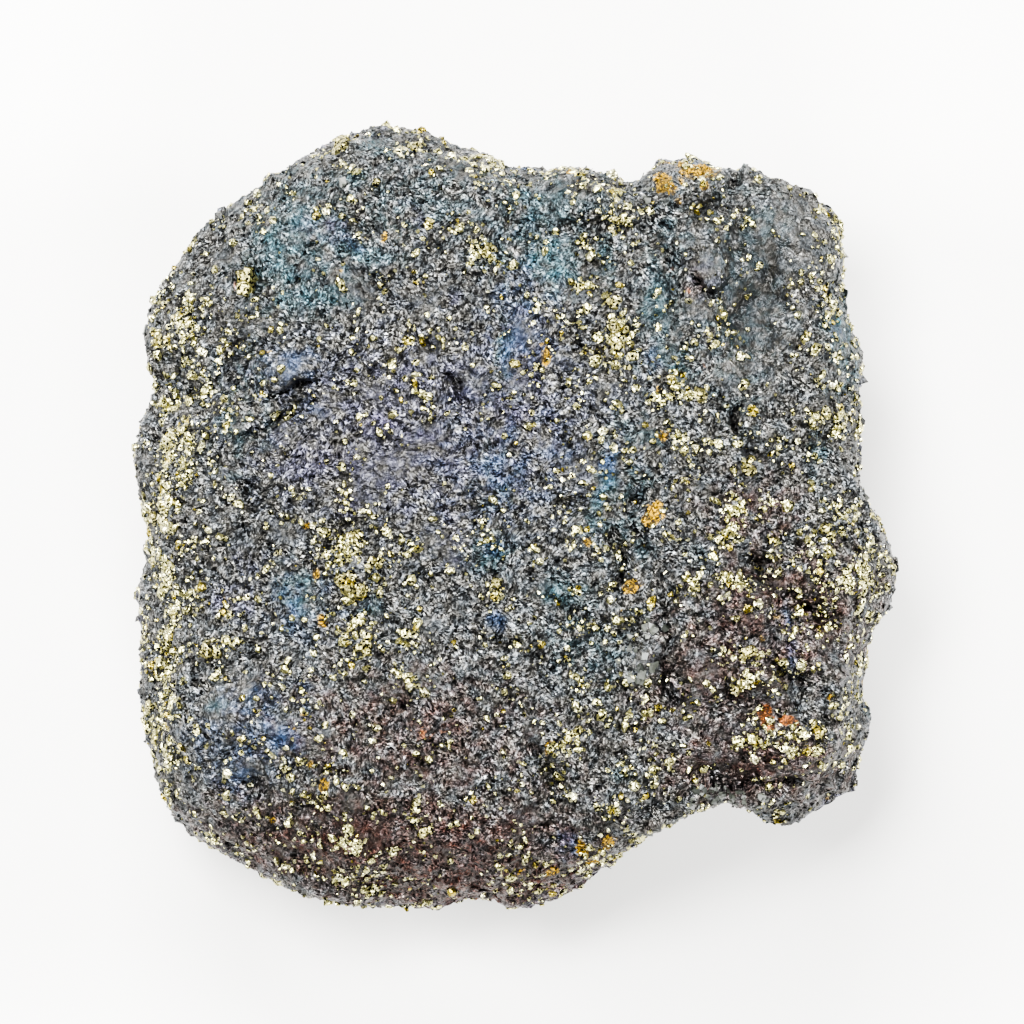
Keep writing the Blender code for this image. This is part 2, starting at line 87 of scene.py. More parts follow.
@dataclass(frozen=True)
class Noise:
    """Noise that gives the same numbers on every run.

    seed picks one set of numbers out of all. tilt turns the lattice, in radians, so that no swell
    runs along the stone's axes. jitter is how far a grain's centre strays from its cell's middle,
    and step how high one grain may stand over the next.
    """

    seed: int = 41
    tilt: tuple[float, float, float] = (0.61, 0.43, 0.87)
    jitter: float = 0.42
    step: float = 0.35

    def hashed(self, cell: Array, channel: int) -> Array:
        """Numbers from -1 to 1 from whole-number places, mixed by large odd factors.

        Args:
            cell: whole-number places, three to a row.
            channel: picks one of many independent sets.

        Returns:
            One number for each place.
        """
        mixed = (cell[..., 0] * 73856093) ^ (cell[..., 1] * 19349663) ^ (cell[..., 2] * 83492791)
        mixed = (mixed ^ (channel * 2654435761) ^ (self.seed * 97531)) & 0xFFFFFFFF
        for shift, factor in ((15, 2246822519), (13, 3266489917)):
            mixed = ((mixed ^ (mixed >> shift)) * factor) & 0xFFFFFFFF
        return ((mixed ^ (mixed >> 16)) & 0xFFFFFF) / float(0x7FFFFF) - 1.0

    def swell(self, points: Array, size: float, channel: int) -> Array:
        """Smooth noise: random values at the corners of a tilted lattice, blended between them.

        Args:
            points: places, three numbers to a row.
            size: the lattice's spacing.
            channel: picks one of many independent sets.

        Returns:
            One number from -1 to 1 for each place.
        """
        place = points @ np.array(Euler(self.tilt).to_matrix()) / size
        cell = np.floor(place).astype(np.int64)
        part = place - cell
        part = part ** 3 * (part * (6.0 * part - 15.0) + 10.0)
        total = np.zeros(len(points))
        for corner in itertools.product((0, 1), repeat=3):
            weight = np.prod(np.where(corner, part, 1.0 - part), axis=1)
            total += weight * self.hashed(cell + np.array(corner), channel)
        return total

    def grain(self, points: Array, size: float, channel: int, seam: float = 8.0) -> Array:
        """Flat-faced grains: a place takes the tilted plane of its nearest grain centre.

        Each centre's plane is weighed by exp(-seam * distance squared), so planes meet in a seam.

        Args:
            points: places, three numbers to a row.
            size: how far apart the grains lie.
            channel: first of seven independent sets.
            seam: how sharply one plane gives way to the next.

        Returns:
            One height for each place, mostly from -0.5 to 0.5.
        """
        place = points / size
        cell = np.floor(place).astype(np.int64)
        weights, height = np.zeros((2, len(points)))
        for step in itertools.product((-1, 0, 1), repeat=3):
            there = cell + np.array(step)
            jitter, tilt = (np.stack([self.hashed(there, first + axis) for axis in range(3)], axis=1)
                            for first in (channel, channel + 3))
            away = place - (there + 0.5 + self.jitter * jitter)
            weight = np.exp(-seam * np.sum(away * away, axis=1))
            height += weight * (np.sum(away * tilt, axis=1) + self.step * self.hashed(there, channel + 6))
            weights += weight
        return height / weights


NOISE = Noise()


def patch_height(x: Array, y: Array, patch: Patch) -> Array:
    """A patch's strength at each place: exp(-(squared distance in half axes) to the power 1.4).

    Args:
        x: places along X.
        y: places along Y.
        patch: the patch.

    Returns:
        Its share at each place, at most its strength.
    """
    bearing = math.radians(patch[4])
    along = (x - patch[0]) * math.cos(bearing) + (y - patch[1]) * math.sin(bearing)
    across = (y - patch[1]) * math.cos(bearing) - (x - patch[0]) * math.sin(bearing)
    return patch[5] * np.exp(-(((along / patch[2]) ** 2 + (across / patch[3]) ** 2) ** 1.4))


def strongest(x: Array, y: Array, patches: Sequence[Patch]) -> Array:
    """The strongest of several patches at each place."""
    return np.max([patch_height(x, y, patch) for patch in patches], axis=0)


@dataclass
class StoneSkin:
    """The stone's fine surface, as arrays: what the mass is cut from and the grains sit in.

    quads: four corners to a face. Each corner has a point and a normal, and in sheet its two grid
    numbers and 0 on the face or 1 on the back. hollow is how far it lies below (negative) or above
    its surroundings, painted_shade how much shade is painted onto it, darkening hollows and the gap
    round a grain, and rich how much pyrite dust it has.
    """

    points: Array
    quads: Array
    normals: Array
    sheet: Array
    hollow: Array
    painted_shade: Array
    rich: Array

    def paint_shade(self, corners: Array, amount: float) -> None:
        """Paints shade at these corners, and at their neighbours 0.6 times as much.

        Args:
            corners: corner numbers.
            amount: the painted shade, from 0 to 1.
        """
        mark, near = np.zeros((2, len(self.points)))
        mark[corners] = amount
        np.maximum.at(near, self.quads.ravel(), np.repeat(mark[self.quads].max(axis=1), 4))
        self.painted_shade = np.maximum(self.painted_shade, np.maximum(mark, 0.6 * near))

    def nearest_up(self, x: float, y: float) -> int:
        """Number of the upward corner that lies nearest to a place seen from above."""
        away = np.hypot(self.points[:, 0] - x, self.points[:, 1] - y)
        return int(np.argmin(np.where(self.normals[:, 2] < UPWARD, np.inf, away)))

    def scatter(self, count: int, density: Array, rng: np.random.Generator) -> tuple:
        """Random places on the surface: a face is drawn by its area times its density.

        Args:
            count: how many places.
            density: a weight for each corner.
            rng: the random source.

        Returns:
            Places, normals and the number of a nearby corner for each.
        """
        corners = self.points[self.quads]
        crossed = np.cross(corners[:, 2] - corners[:, 0], corners[:, 3] - corners[:, 1])
        area = np.linalg.norm(crossed, axis=1)
        weight = np.cumsum(area * density[self.quads].mean(axis=1))
        drawn = np.searchsorted(weight, rng.random(count) * weight[-1])
        a, b = rng.random((2, count, 1))
        shares = np.stack([(1 - a) * (1 - b), a * (1 - b), a * b, (1 - a) * b], axis=1)
        normals = (self.normals[self.quads[drawn]] * shares).sum(axis=1)
        normals /= np.linalg.norm(normals, axis=1)[:, None]
        return (corners[drawn] * shares).sum(axis=1), normals, self.quads[drawn, 0]

    def gather(self, named: Mapping[str, tuple], draw: Callable, low: float, high: float,
               rng: np.random.Generator) -> tuple:
        """Places round named ones, each grain on the corner that lies nearest under it.

        Args:
            named: place, spread along and across, turn, half size and count.
            draw: gives random numbers for the spread, of a given shape.
            low: least share of the half size.
            high: largest share of the half size.
            rng: the random source.

        Returns:
            Places, normals and half sizes.
        """
        corners, sizes = [], []
        for x, y, along, across, turn, size, count in named.values():
            cosine, sine = math.cos(math.radians(turn)), math.sin(math.radians(turn))
            for a, b in draw((count, 2)) * (along, across):
                corners.append(self.nearest_up(x + a * cosine - b * sine, y + a * sine + b * cosine))
                sizes.append(size * rng.uniform(low, high))
        return self.points[corners], self.normals[corners], np.array(sizes)


@dataclass
class StoneForm:
    """The stone's form: two sheets, face and back, that meet along its outline.

    rim rows are direction, outline height, and the widths over which face and back round off.
    A broken plane is the distance at which it leaves its level, its direction and its fall.
    Lumps and hollows are patches whose last number is a height or depth. A ledge is its points
    with the raised side on the left, rise, run-out, and depth and width of the groove at its foot.
    A crack is its points, half width and depth. Grains and swells are size, height on the face,
    and height on the sides and back. ragged gives the size and sway of noise that bends them all.
    The calms are how far each kind of roughness, and the painted shade in hollows, fades out where
    the break is smooth, and shift is how far the finished surface moves to sit over the CAD solid.
    """

    squares: int = 262
    shelf: float = 0.79
    shake: float = 0.6
    bump_spread: float = 5.0
    rim_wander: float = 7.0
    rim_height_wander: float = 1.7
    bump_turn_wander: float = 7.0
    face_height: float = 26.5
    face_dome: float = 0.0016
    plane_blend: float = 0.9
    back_depth: float = -0.9
    ledge_drop: float = 0.13
    outline_share: float = 0.25
    outline_calm: float = 1.4
    calm_height: float = 3.2
    hollow_reach: int = 14
    # Painted shade in hollows: how far below its surroundings a corner starts to darken, how fast it grows,
    # and its most
    painted_shade_depth: float = 0.30
    painted_shade_gain: float = 1.1
    painted_shade_most: float = 0.50
    bump_depth: float = 9.0
    rim_power: float = 0.85
    up_gain: float = 1.6
    up_start: float = 0.2
    grain_calm: float = 0.88
    tooth_calm: float = 0.8
    painted_shade_calm: float = 0.85
    outline: Sequence[tuple[float, float]] = (
        (-12, 33.1), (-9.3, 33), (-7.2, 32.8), (-6.1, 32.2), (-4.5, 31.3), (-1.5, 30.5), (-0.1, 29.6),
        (1.9, 30), (4.1, 29.6), (6.2, 29.8), (7.8, 29), (9.1, 27.9), (10.2, 27.5), (10.6, 27.7),
        (11.1, 28.5), (11.6, 29.5), (12.3, 30.4), (13.7, 30.5), (15, 30.9), (15.9, 30.5), (17.6, 29.4),
        (18.5, 28.6), (19.5, 29), (21.2, 28.1), (23.1, 27.5), (24.7, 27.4), (26.8, 26.4), (27.6, 24.7),
        (27.7, 23.2), (28.1, 22.3), (27.8, 21), (27.6, 18), (28.5, 15.5), (29.2, 14.1), (29.2, 12.1),
        (29, 10.7), (29.2, 8.5), (29, 7.1), (29.3, 5.1), (29, 2.9), (29.7, 0.9), (30.9, -1.4), (31.8, -4),
        (32, -5.5), (31.5, -7.2), (30.1, -9), (29.6, -11), (29.4, -14.8), (30, -17.8), (29.4, -20.3),
        (28.7, -22.7), (27.4, -23), (25.9, -24.5), (24.4, -25.5), (23, -25.9), (21.7, -25.4), (21, -24.8),
        (19.8, -24), (17.9, -23.5), (16, -23.7), (14.6, -24.8), (12.5, -26), (9.7, -28), (7.3, -29.8),
        (4.5, -31.8), (2.3, -32.7), (-0.4, -33.1), (-2.4, -32.5), (-3.8, -32.5), (-6.1, -33.1),
        (-9.1, -32.8), (-13.1, -32.8), (-16.4, -32), (-18.8, -31), (-20.6, -30.1), (-23.8, -28.9),
        (-25.9, -27.7), (-27.7, -26.4), (-29.1, -24.3), (-29.9, -21.3), (-30.9, -18.9), (-31.3, -16.3),
        (-31.3, -12.9), (-31.4, -8.7), (-31.8, -6.8), (-30.7, -3.6), (-30.7, -1.3), (-31.4, 1.2),
        (-31.9, 3.6), (-31.9, 6.5), (-31.3, 8.8), (-30.3, 10.5), (-30.1, 11.4), (-29.4, 12.2),
        (-29.7, 12.9), (-30.7, 13.6), (-31, 15.5), (-30.4, 18), (-29.1, 20.3), (-27.5, 22.7), (-26.7, 24.3),
        (-24.8, 25.7), (-23, 27), (-21.5, 28), (-20.9, 29), (-19.6, 29.2), (-16.3, 31.6), (-14, 32.3))
    rim: Sequence[tuple[float, ...]] = (
        (0, 15.5, 2.6, 2.6), (30, 17, 2.8, 2.2), (60, 15, 3, 3.4), (90, 13, 3.8, 3.2),
        (120, 14.5, 4.4, 3.6), (150, 17, 3.8, 3), (180, 15.5, 3.2, 2.4), (210, 12.5, 3.8, 2.6),
        (240, 10.5, 4.6, 3), (270, 11.5, 4.4, 4), (300, 16.5, 2, 4.6), (330, 13, 3, 3.4))
    face_planes: Mapping[str, tuple[float, ...]] = table({
        "left bevel": (23.4, 178, 34), "upper left shoulder": (28.6, 131, 30), "upper edge": (28.5, 93, 27),
        "upper right corner": (31.5, 48, 24), "right edge": (26.4, 2, 30), "lower edge": (24.5, 266, 33),
        "lower left shoulder": (29.5, 226, 34), "lower right break": (27.2, 307, 30)})
    back_planes: Mapping[str, tuple[float, ...]] = table({
        "left": (25, 171, 58), "upper left": (22, 127, 41), "top": (12.5, 97, 27),
        "upper right": (25.5, 44, 52), "right": (18.5, 355, 36), "lower right": (24, 316, 50),
        "bottom": (20, 258, 40), "lower left": (28, 219, 56), "slanting break": (12, 20, 13)})
    lumps: Mapping[str, Patch] = table({
        "knob on the upper edge": (14.9, 28.3, 3.3, 2.4, 0, 1.3),
        "plate under the knob": (17.5, 24.9, 1.7, 1.4, 0, 0.7),
        "leaf above the channel": (16.8, 21.3, 2.2, 1.7, 10, 0.6),
        "slab right of the channel": (25.2, 16.5, 3.2, 9, 0, 1.1),
        "slab above the long ledge": (7.2, 27, 5.5, 2.4, 5, 0.5),
        "plate over the black ledge": (-18.3, 12.8, 3, 1.7, 8, 1),
        "lower right lobe": (23.4, -11, 8.2, 12.6, 8, 1.9), "lobe shoulder": (29, -4.5, 2.8, 3.6, 0, 0.9),
        "mound on the lobe": (24.4, -18.9, 5, 2.6, 0, 1.9),
        "diagonal rib of the lobe": (26.6, -13.4, 4.6, 1.3, 118, 1),
        "lobe brow": (18, -6.4, 3.4, 1.4, 0, 0.8), "middle rise": (6.1, -3.6, 2.2, 3.4, 0, 0.8),
        "quartz patch": (10.8, -11.8, 2.2, 1.5, 35, 0.8), "pale rise": (9, -7.6, 1.4, 1.8, 0, 0.6),
        "pyrite swelling": (-13.3, -4.6, 1.8, 2.3, 0, 0.7),
        "upper left swelling": (-11.2, 21.4, 4.6, 3.2, 20, 0.6),
        "left swelling": (-24.4, -16.8, 4, 2.4, 0, 0.8), "blue plate": (-18.6, -17.2, 3.6, 2, 12, 0.6),
        "lower middle rise": (-9.8, -19.2, 2.8, 1.6, 0, 0.6),
        "lower right rise": (12.6, -19.4, 3.4, 2, 0, 0.8), "lower rise": (8.6, -23.8, 3.8, 1.7, 20, 0.7),
        "bottom swelling": (-3.2, -26.6, 4.4, 2, 0, 0.6),
        "rise over the violet field": (-9.6, 10.2, 2.4, 1.8, 0, 0.5),
        "rise at the right edge": (25.2, 9.6, 1.7, 2.6, 0, 0.7)})
    hollows: Mapping[str, Patch] = table({
        "hollow left of the plate": (-22.8, 13.4, 1.2, 2.2, -12, 1.2),
        "hollow under the black ledge": (-18.4, 9, 3, 1.2, 8, 0.8),
        "brown pit": (-21.7, 1.9, 1.3, 0.8, 0, 1), "slanting hollow": (-14.6, -0.9, 2, 0.8, 24, 0.8),
        "small hollow by the pit": (-16.6, 0.9, 0.9, 0.7, 0, 0.5),
        "upper left hollow": (-12, 24.7, 0.9, 1.1, 0, 0.8),
        "upper left hollow, lower": (-16.2, 22.2, 1.9, 0.8, 30, 0.6),
        "teal hollow": (-17.9, 20.3, 1, 0.9, 0, 0.7),
        "hollow with bright grains": (-11.9, 19.2, 1.5, 0.7, -12, 0.7),
        "notch in the violet field": (-11, 12.8, 1.2, 0.6, 20, 0.6),
        "slanting notch": (-4.8, 10.3, 1.5, 0.5, -45, 0.6), "level notch": (-2.4, 5.6, 2.2, 0.6, 0, 0.6),
        "long notch": (-4, 0.8, 2.6, 0.7, 0, 0.7),
        "dark hollow in the middle": (5, 1.2, 2.4, 0.9, -10, 0.9),
        "deep hollow by the rust": (10.3, 1.8, 1.5, 2.4, -20, 1.5),
        "hollow under the leaf": (14.4, 20.9, 1, 0.9, 0, 0.7),
        "hollow at the channel's end": (17.2, 8.3, 1.1, 2, 0, 0.6),
        "hollow right of that end": (20.1, 6, 1.6, 0.8, 0, 1), "black pit": (20.2, -3.6, 1.5, 1.3, 0, 1.5),
        "pit's upper mouth": (22.2, -1.9, 1.3, 0.8, 0, 1.1),
        "maroon hollow": (23.9, -7.8, 2.8, 1.3, -15, 1.1),
        "groove beside the rib": (22.7, -13.2, 0.9, 2.6, 20, 1.2),
        "hollow above the mound": (19.2, -14.8, 1.8, 1.2, 0, 1.1),
        "groove left of the lobe": (13.7, -14.2, 0.9, 2.1, 0, 1),
        "hollow over the lower bay": (17.4, -21.5, 2.6, 1.2, 0, 1.2),
        "lower slanting groove": (3.2, -21.6, 2.6, 1, -58, 1.3),
        "lower left notch": (-9.6, -15.8, 2, 0.9, -10, 0.9),
        "lower left notch, second": (-7.2, -19.6, 1.2, 0.8, 0, 0.7),
        "hollow under the middle": (-1, -10.3, 2.1, 0.7, 0, 0.7),
        "hollow right of it": (3.2, -11.6, 1.3, 0.7, -15, 0.6),
        "lower hollow": (-17.2, -24, 1.6, 1.1, 0, 0.8),
        "lower hollow, left": (-21, -22.3, 1.5, 0.9, 0, 0.7),
        "left hollow": (-21.4, -11.6, 1.6, 0.8, 0, 0.6),
        "pocket of the oval pyrite": (-22.1, 19.8, 1.4, 1.9, 0, 0.9),
        "shade under the knob": (18.3, 27.6, 0.9, 0.8, 0, 1.3)})
    ledges: Mapping[str, tuple] = table({
        "black ledge": (((-21.3, 10), (-19.6, 10.6), (-17.8, 11.1), (-15, 10.9)), 0.6, 3, 1, 0.5),
        "second ledge": (((-24.4, 6.6), (-21.4, 8), (-18.2, 9.2), (-15.6, 9.4)), 0.4, 2.2, 0.35, 0.5),
        "long upper ledge": (((1, 22.9), (2.7, 23.7), (7.3, 24.7), (10.7, 24.5), (14.9, 23.9)),
            0.5, 3.4, 0.1, 0.5),
        "leaf's foot": (((14.7, 19.6), (16.2, 19.4), (18.4, 19.9)), 0.5, 1.8, 0.8, 0.5),
        "lobe's lower edge": (((18.6, -20.6), (21.4, -21.3), (25, -21.4), (28.8, -20.6)), 0.5, 2.8, 1, 1.2),
        "lobe's left edge": (((12.8, -3.6), (13.4, -8), (13, -12.4), (14.2, -17)), 0.5, 3.4, 0.5, 0.8),
        "diagonal step": (((5, 16.8), (6.4, 14.6), (7.8, 12)), 0.3, 1.6, 0.6, 0.5)})
    cracks: Mapping[str, tuple] = table({
        "crevice from the notch": (((10, 27.9), (11.6, 25.2), (13, 21), (13.9, 15), (15.6, 9.8)), 1, 0.65),
        "smooth channel": (((15.6, 26.6), (19, 24), (20.2, 19), (20, 13.5), (18.6, 9.4)), 2.3, 1.9),
        "channel's side crack": (((17.9, 10.4), (17.6, 8.4), (17.7, 6.6)), 0.4, 0.8),
        "upright crevice": (((8.5, 0.6), (8.8, -3), (8.3, -7)), 0.6, 0.9),
        "short crevice": (((9.9, -0.6), (11.2, -2.4)), 0.5, 0.7),
        "crack over the lobe": (((17.6, -2), (20.2, -4.4), (23.6, -6.6), (27, -8.6)), 0.8, 0.55),
        "left notch crack": (((-29.6, 12.3), (-27.4, 11.7), (-25.6, 10.9)), 0.8, 1.1)})
    grains: Sequence[tuple[float, ...]] = (
        (9, 0.5, 1.5), (4.6, 0.45, 0.75), (2.4, 0.26, 0.3))
    swells: Sequence[tuple[float, ...]] = (
        (17, 0.6, 1.1), (6.5, 0.35, 0.45))
    fine_grains: Sequence[tuple[float, ...]] = (
        (1.35, 0.26, 0.3), (0.75, 0.2, 0.2))
    tooth: float = 0.055
    ragged: Sequence[tuple[float, float]] = (
        (2.6, 0.75), (1.1, 0.35), (0.5, 0.16))
    shift: Array = field(default_factory=lambda: np.zeros(3))

    def outline_radius(self, turns: Array) -> Array:
        """Distance from the middle to the outline, blended between its points by direction.

        Args:
            turns: directions.

        Returns:
            The distance in each direction.
        """
        points = np.array(self.outline)
        bearing = np.degrees(np.arctan2(points[:, 1], points[:, 0])) % 360.0
        order = np.argsort(bearing)
        reach = np.hypot(points[:, 0], points[:, 1])
        return np.interp(turns % 360.0, bearing[order], reach[order], period=360.0)

    def body_radius(self, turns: Array) -> Array:
        """The same distance with the outline's small bumps smoothed away by a bell curve.

        Args:
            turns: directions.

        Returns:
            The distance in each direction.
        """
        samples = np.arange(0.0, 360.0, 0.5)
        offset = (samples + 180.0) % 360.0 - 180.0
        bell = np.exp(-0.5 * (offset / self.bump_spread) ** 2)
        reach = np.fft.rfft(self.outline_radius(samples)) * np.fft.rfft(bell / bell.sum())
        return np.interp(turns % 360.0, samples, np.fft.irfft(reach, len(samples)), period=360.0)

    def around(self, turns: Array, column: int) -> Array:
        """A column of the rim's rows at these directions, blended between them."""
        rows = np.array(self.rim, dtype=float)
        return np.interp(turns % 360.0, rows[:, 0], rows[:, column], period=360.0)

    def rim_height(self, turns: Array) -> Array:
        """Height of the outline above the base: the rim's rows blended, and a wander of noise.

        Args:
            turns: directions.

        Returns:
            The height in each direction.
        """
        body, bearing = self.body_radius(turns), np.radians(turns)
        place = np.stack([body * np.cos(bearing), body * np.sin(bearing), 0.0 * body], axis=1)
        return self.around(turns, 1) + self.rim_height_wander * NOISE.swell(place, self.rim_wander, 5)

    def softly_most(self, values: list[Array]) -> Array:
        """The largest of several heights, its meetings rounded: blend * log of a sum of powers.

        Args:
            values: the heights.

        Returns:
            The largest at each place.
        """
        stacked = np.stack(values) / self.plane_blend
        top = stacked.max(axis=0)
        return self.plane_blend * (top + np.log(np.exp(stacked - top).sum(axis=0)))

    def level(self, x: Array, y: Array, on_face: bool) -> Array:
        """Height of the face or back before its edge rounds off: a dome cut by broken planes.

        Args:
            x: places along X.
            y: places along Y.
            on_face: the face if true, otherwise the back.

        Returns:
            The height at each place.
        """
        falls = []
        for start, turn, fall in (self.face_planes if on_face else self.back_planes).values():
            out = x * math.cos(math.radians(turn)) + y * math.sin(math.radians(turn)) - start
            falls.append(out * math.tan(math.radians(fall)))
        if on_face:
            dome = self.face_height - self.face_dome * (x * x + y * y)
            return dome - self.softly_most([np.zeros_like(x)] + falls)
        return self.softly_most([np.full_like(x, self.back_depth)] + falls)

    def sheet_places(self, u: Array, v: Array, on_face: bool) -> Array:
        """Places of one sheet, as a function of u and v from -1 to 1 over a square.

        The square is turned into a disc by equal areas, and the disc's rings are pushed out to
        the outline. The last part of the radius runs round a quarter ellipse down to it.

        Args:
            u: first grid number.
            v: second grid number.
            on_face: the face if true, otherwise the back.

        Returns:
            Places, three numbers to a row.
        """
        ring = np.maximum(np.abs(u), np.abs(v))
        safe = np.maximum(ring, 1e-9)
        turns = np.where(np.abs(u) >= np.abs(v),
                         45.0 * v / safe * np.sign(u) + np.where(u < 0, 180.0, 0.0),
                         90.0 * np.sign(v) - 45.0 * u / safe * np.sign(v))
        swing = np.clip((ring - self.shelf) / (1.0 - self.shelf), 0.0, 1.0) * (math.pi / 2.0)
        body, bearing = self.body_radius(turns), np.radians(turns)
        spot = [body * np.cos(bearing), body * np.sin(bearing), self.bump_depth * np.cos(swing)]
        wander = NOISE.swell(np.stack(spot, axis=1), self.rim_wander, 7)
        wander = self.bump_turn_wander * np.cos(swing) * wander
        bumps = self.outline_radius(turns + wander) - body
        width = self.around(turns, 2 if on_face else 3)
        radius = (body - width) * np.minimum(ring / self.shelf, 1.0)
        radius = radius + width * np.sin(swing) + bumps * np.sin(swing) ** 3
        x, y = radius * np.cos(bearing), radius * np.sin(bearing)
        low = self.rim_height(turns)
        z = low + (self.level(x, y, on_face) - low) * np.cos(swing) ** self.rim_power
        return np.stack([x, y, z], axis=1)

    def beside_line(self, x: Array, y: Array, points: Sequence) -> tuple:
        """Where places lie beside a line of points.

        Args:
            x: places along X.
            y: places along Y.
            points: the line's corners.

        Returns:
            Distance, side (1 on the left), and a fade that is 0 at the line's ends and 1 between.
        """
        ends = np.array(points)
        lengths = np.hypot(*np.diff(ends, axis=0).T)
        run = np.concatenate([[0.0], np.cumsum(lengths)])
        nearest, side, along = np.full(len(x), np.inf), np.ones(len(x)), np.zeros(len(x))
        for index, length in enumerate(lengths):
            (ax, ay), (bx, by) = ends[index], ends[index + 1]
            dx, dy = (bx - ax) / length, (by - ay) / length
            share = np.clip((x - ax) * dx + (y - ay) * dy, 0.0, length)
            distance = np.hypot(x - ax - share * dx, y - ay - share * dy)
            closer = distance < nearest
            side = np.where(closer, np.sign(dx * (y - ay) - dy * (x - ax)), side)
            along = np.where(closer, (run[index] + share) / run[-1], along)
            nearest = np.minimum(nearest, distance)
        return nearest, side, np.clip(4.0 * np.minimum(along, 1.0 - along), 0.0, 1.0)

    def features(self, x: Array, y: Array) -> Array:
        """Height that the named forms add to the face: patches, and bell curves beside lines.

        Args:
            x: places along X.
            y: places along Y.

        Returns:
            The height at each place.
        """
        height = np.zeros(len(x))
        flat = np.stack([x, y, np.zeros(len(x))], axis=1)
        for channel, (size, sway) in enumerate(self.ragged):
            x = x + sway * NOISE.swell(flat, size, 141 + channel)
            y = y + sway * NOISE.swell(flat, size, 151 + channel)
        for sign, patches in ((1.0, self.lumps), (-1.0, self.hollows)):
            for patch in patches.values():
                height += sign * patch_height(x, y, patch)
        for points, rise, run_out, depth, width in self.ledges.values():
            distance, side, fade = self.beside_line(x, y, points)
            raised = 0.5 + 0.5 * np.tanh(side * distance / self.ledge_drop)
            height += fade * raised * rise * np.exp(-(distance / run_out) ** 2)
            height -= fade * (1.0 - raised) * depth * np.exp(-(distance / width) ** 2)
        for points, half_width, depth in self.cracks.values():
            distance, _, fade = self.beside_line(x, y, points)
            height -= np.sqrt(fade) * depth * np.exp(-(distance / half_width) ** 2)
        return height

    def relief(self, points: Array, upward: Array, smooth: Array) -> Array:
        """How far each place moves along its normal: swells and grains, calm near the outline.

        Args:
            points: places, three numbers to a row.
            upward: 1 on the face and 0 on the sides and back.
            smooth: how smooth the break is, from 0 to 1.

        Returns:
            The move at each place.
        """
        turns = np.degrees(np.arctan2(points[:, 1], points[:, 0]))
        inset = self.outline_radius(turns) - np.hypot(points[:, 0], points[:, 1])
        low_calm = np.clip((points[:, 2] - self.back_depth) / self.calm_height, 0.0, 1.0)
        share = low_calm * np.clip(self.outline_share + inset / self.outline_calm, self.outline_share, 1.0)
        fine = low_calm * (1.0 - self.grain_calm * smooth)
        height = np.zeros(len(points))
        for rows, calm, noise, first, step in (
                (self.swells, share, NOISE.swell, 11, 1), (self.grains, share, NOISE.grain, 23, 9),
                (self.fine_grains, fine, partial(NOISE.grain, seam=16.0), 71, 9)):
            for number, (size, face, back) in enumerate(rows):
                rise = calm * (back + (face - back) * upward)
                height += rise * noise(points, size, first + step * number)
        tooth = np.random.default_rng(5).normal(0.0, self.tooth, len(points))
        tooth = np.clip(tooth, -2.0 * self.tooth, 2.0 * self.tooth)
        return height + low_calm * (1.0 - self.tooth_calm * smooth) * tooth

    def hollowness(self, moved: Array, numbers: Array) -> Array:
        """How far each grid corner stands above the mean of its surroundings on its sheet.

        Args:
            moved: how far each corner has been moved, by corner number.
            numbers: the sheet's square of corner numbers.

        Returns:
            The difference, as a square of the same shape.
        """
        smooth = moved[numbers]
        for _ in range(self.hollow_reach):
            wide = np.pad(smooth, 1, mode="edge")
            smooth = (wide[:-2, 1:-1] + wide[2:, 1:-1] + wide[1:-1, :-2] + wide[1:-1, 2:]) / 4.0
        return moved[numbers] - smooth

    def skin(self, smooth_patches: Sequence[Patch]) -> StoneSkin:
        """The whole fine surface, sewn along the outline, flat at z = 0 and set over the CAD solid.

        Args:
            smooth_patches: where the break is smooth.

        Returns:
            The surface's arrays.
        """
        side = self.squares + 1
        steps = np.linspace(-1.0, 1.0, side)
        u, v = np.meshgrid(steps, steps, indexing="ij")
        inside = (np.maximum(np.abs(u), np.abs(v)) < 1.0 - 1e-9)
        shake = np.random.default_rng(7).uniform(-self.shake, self.shake, (4, side, side))
        shake = shake / self.squares * inside
        face_numbers = np.arange(side * side).reshape(side, side)
        back_numbers = face_numbers.copy()
        back_numbers[inside] = side * side + np.arange(inside.sum())
        face_uv = np.stack([u + shake[0], v + shake[1]], axis=-1).reshape(-1, 2)
        back_uv = np.stack([u + shake[2], v + shake[3]], axis=-1)[inside]
        points = np.concatenate([self.sheet_places(*face_uv.T, True), self.sheet_places(*back_uv.T, False)])
        quads = np.concatenate([self.grid_quads(face_numbers), self.grid_quads(back_numbers)[:, ::-1]])
        sheet = np.concatenate([np.insert(face_uv, 2, 0.0, axis=1), np.insert(back_uv, 2, 1.0, axis=1)])
        normals = self.corner_normals(points, quads)
        upward = np.clip(normals[:, 2] * self.up_gain - self.up_start, 0.0, 1.0)
        smooth = upward * strongest(points[:, 0], points[:, 1], smooth_patches)
        moved = self.relief(points, upward, smooth)
        lifted = upward * self.features(points[:, 0], points[:, 1])
        points = points + normals * moved[:, None]
        points[:, 2] = np.maximum(points[:, 2] + lifted, 0.0)
        hollow = np.zeros(len(points))
        hollow[back_numbers] = self.hollowness(moved, back_numbers)
        hollow[face_numbers] = self.hollowness(moved + lifted, face_numbers)
        # Painted shade: hollows are darkened, more the deeper they lie, and less where the break is smooth
        painted_shade = np.clip(-self.painted_shade_gain * (hollow + self.painted_shade_depth), 0.0, self.painted_shade_most)
        middle = (points.min(axis=0) + points.max(axis=0)) / 2.0
        self.shift = (np.mean(CAD_BOX, axis=0) / MM - middle) * (1.0, 1.0, 0.0)
        return StoneSkin(points, quads, self.corner_normals(points, quads), sheet, hollow,
                         painted_shade * (1.0 - self.painted_shade_calm * smooth), np.zeros(len(points)))

    @staticmethod
    def grid_quads(numbers: Array) -> Array:
        """Four corner numbers for each square of a grid, anticlockwise as seen from above."""
        return np.stack([numbers[:-1, :-1], numbers[1:, :-1], numbers[1:, 1:], numbers[:-1, 1:]],
                        axis=-1).reshape(-1, 4)

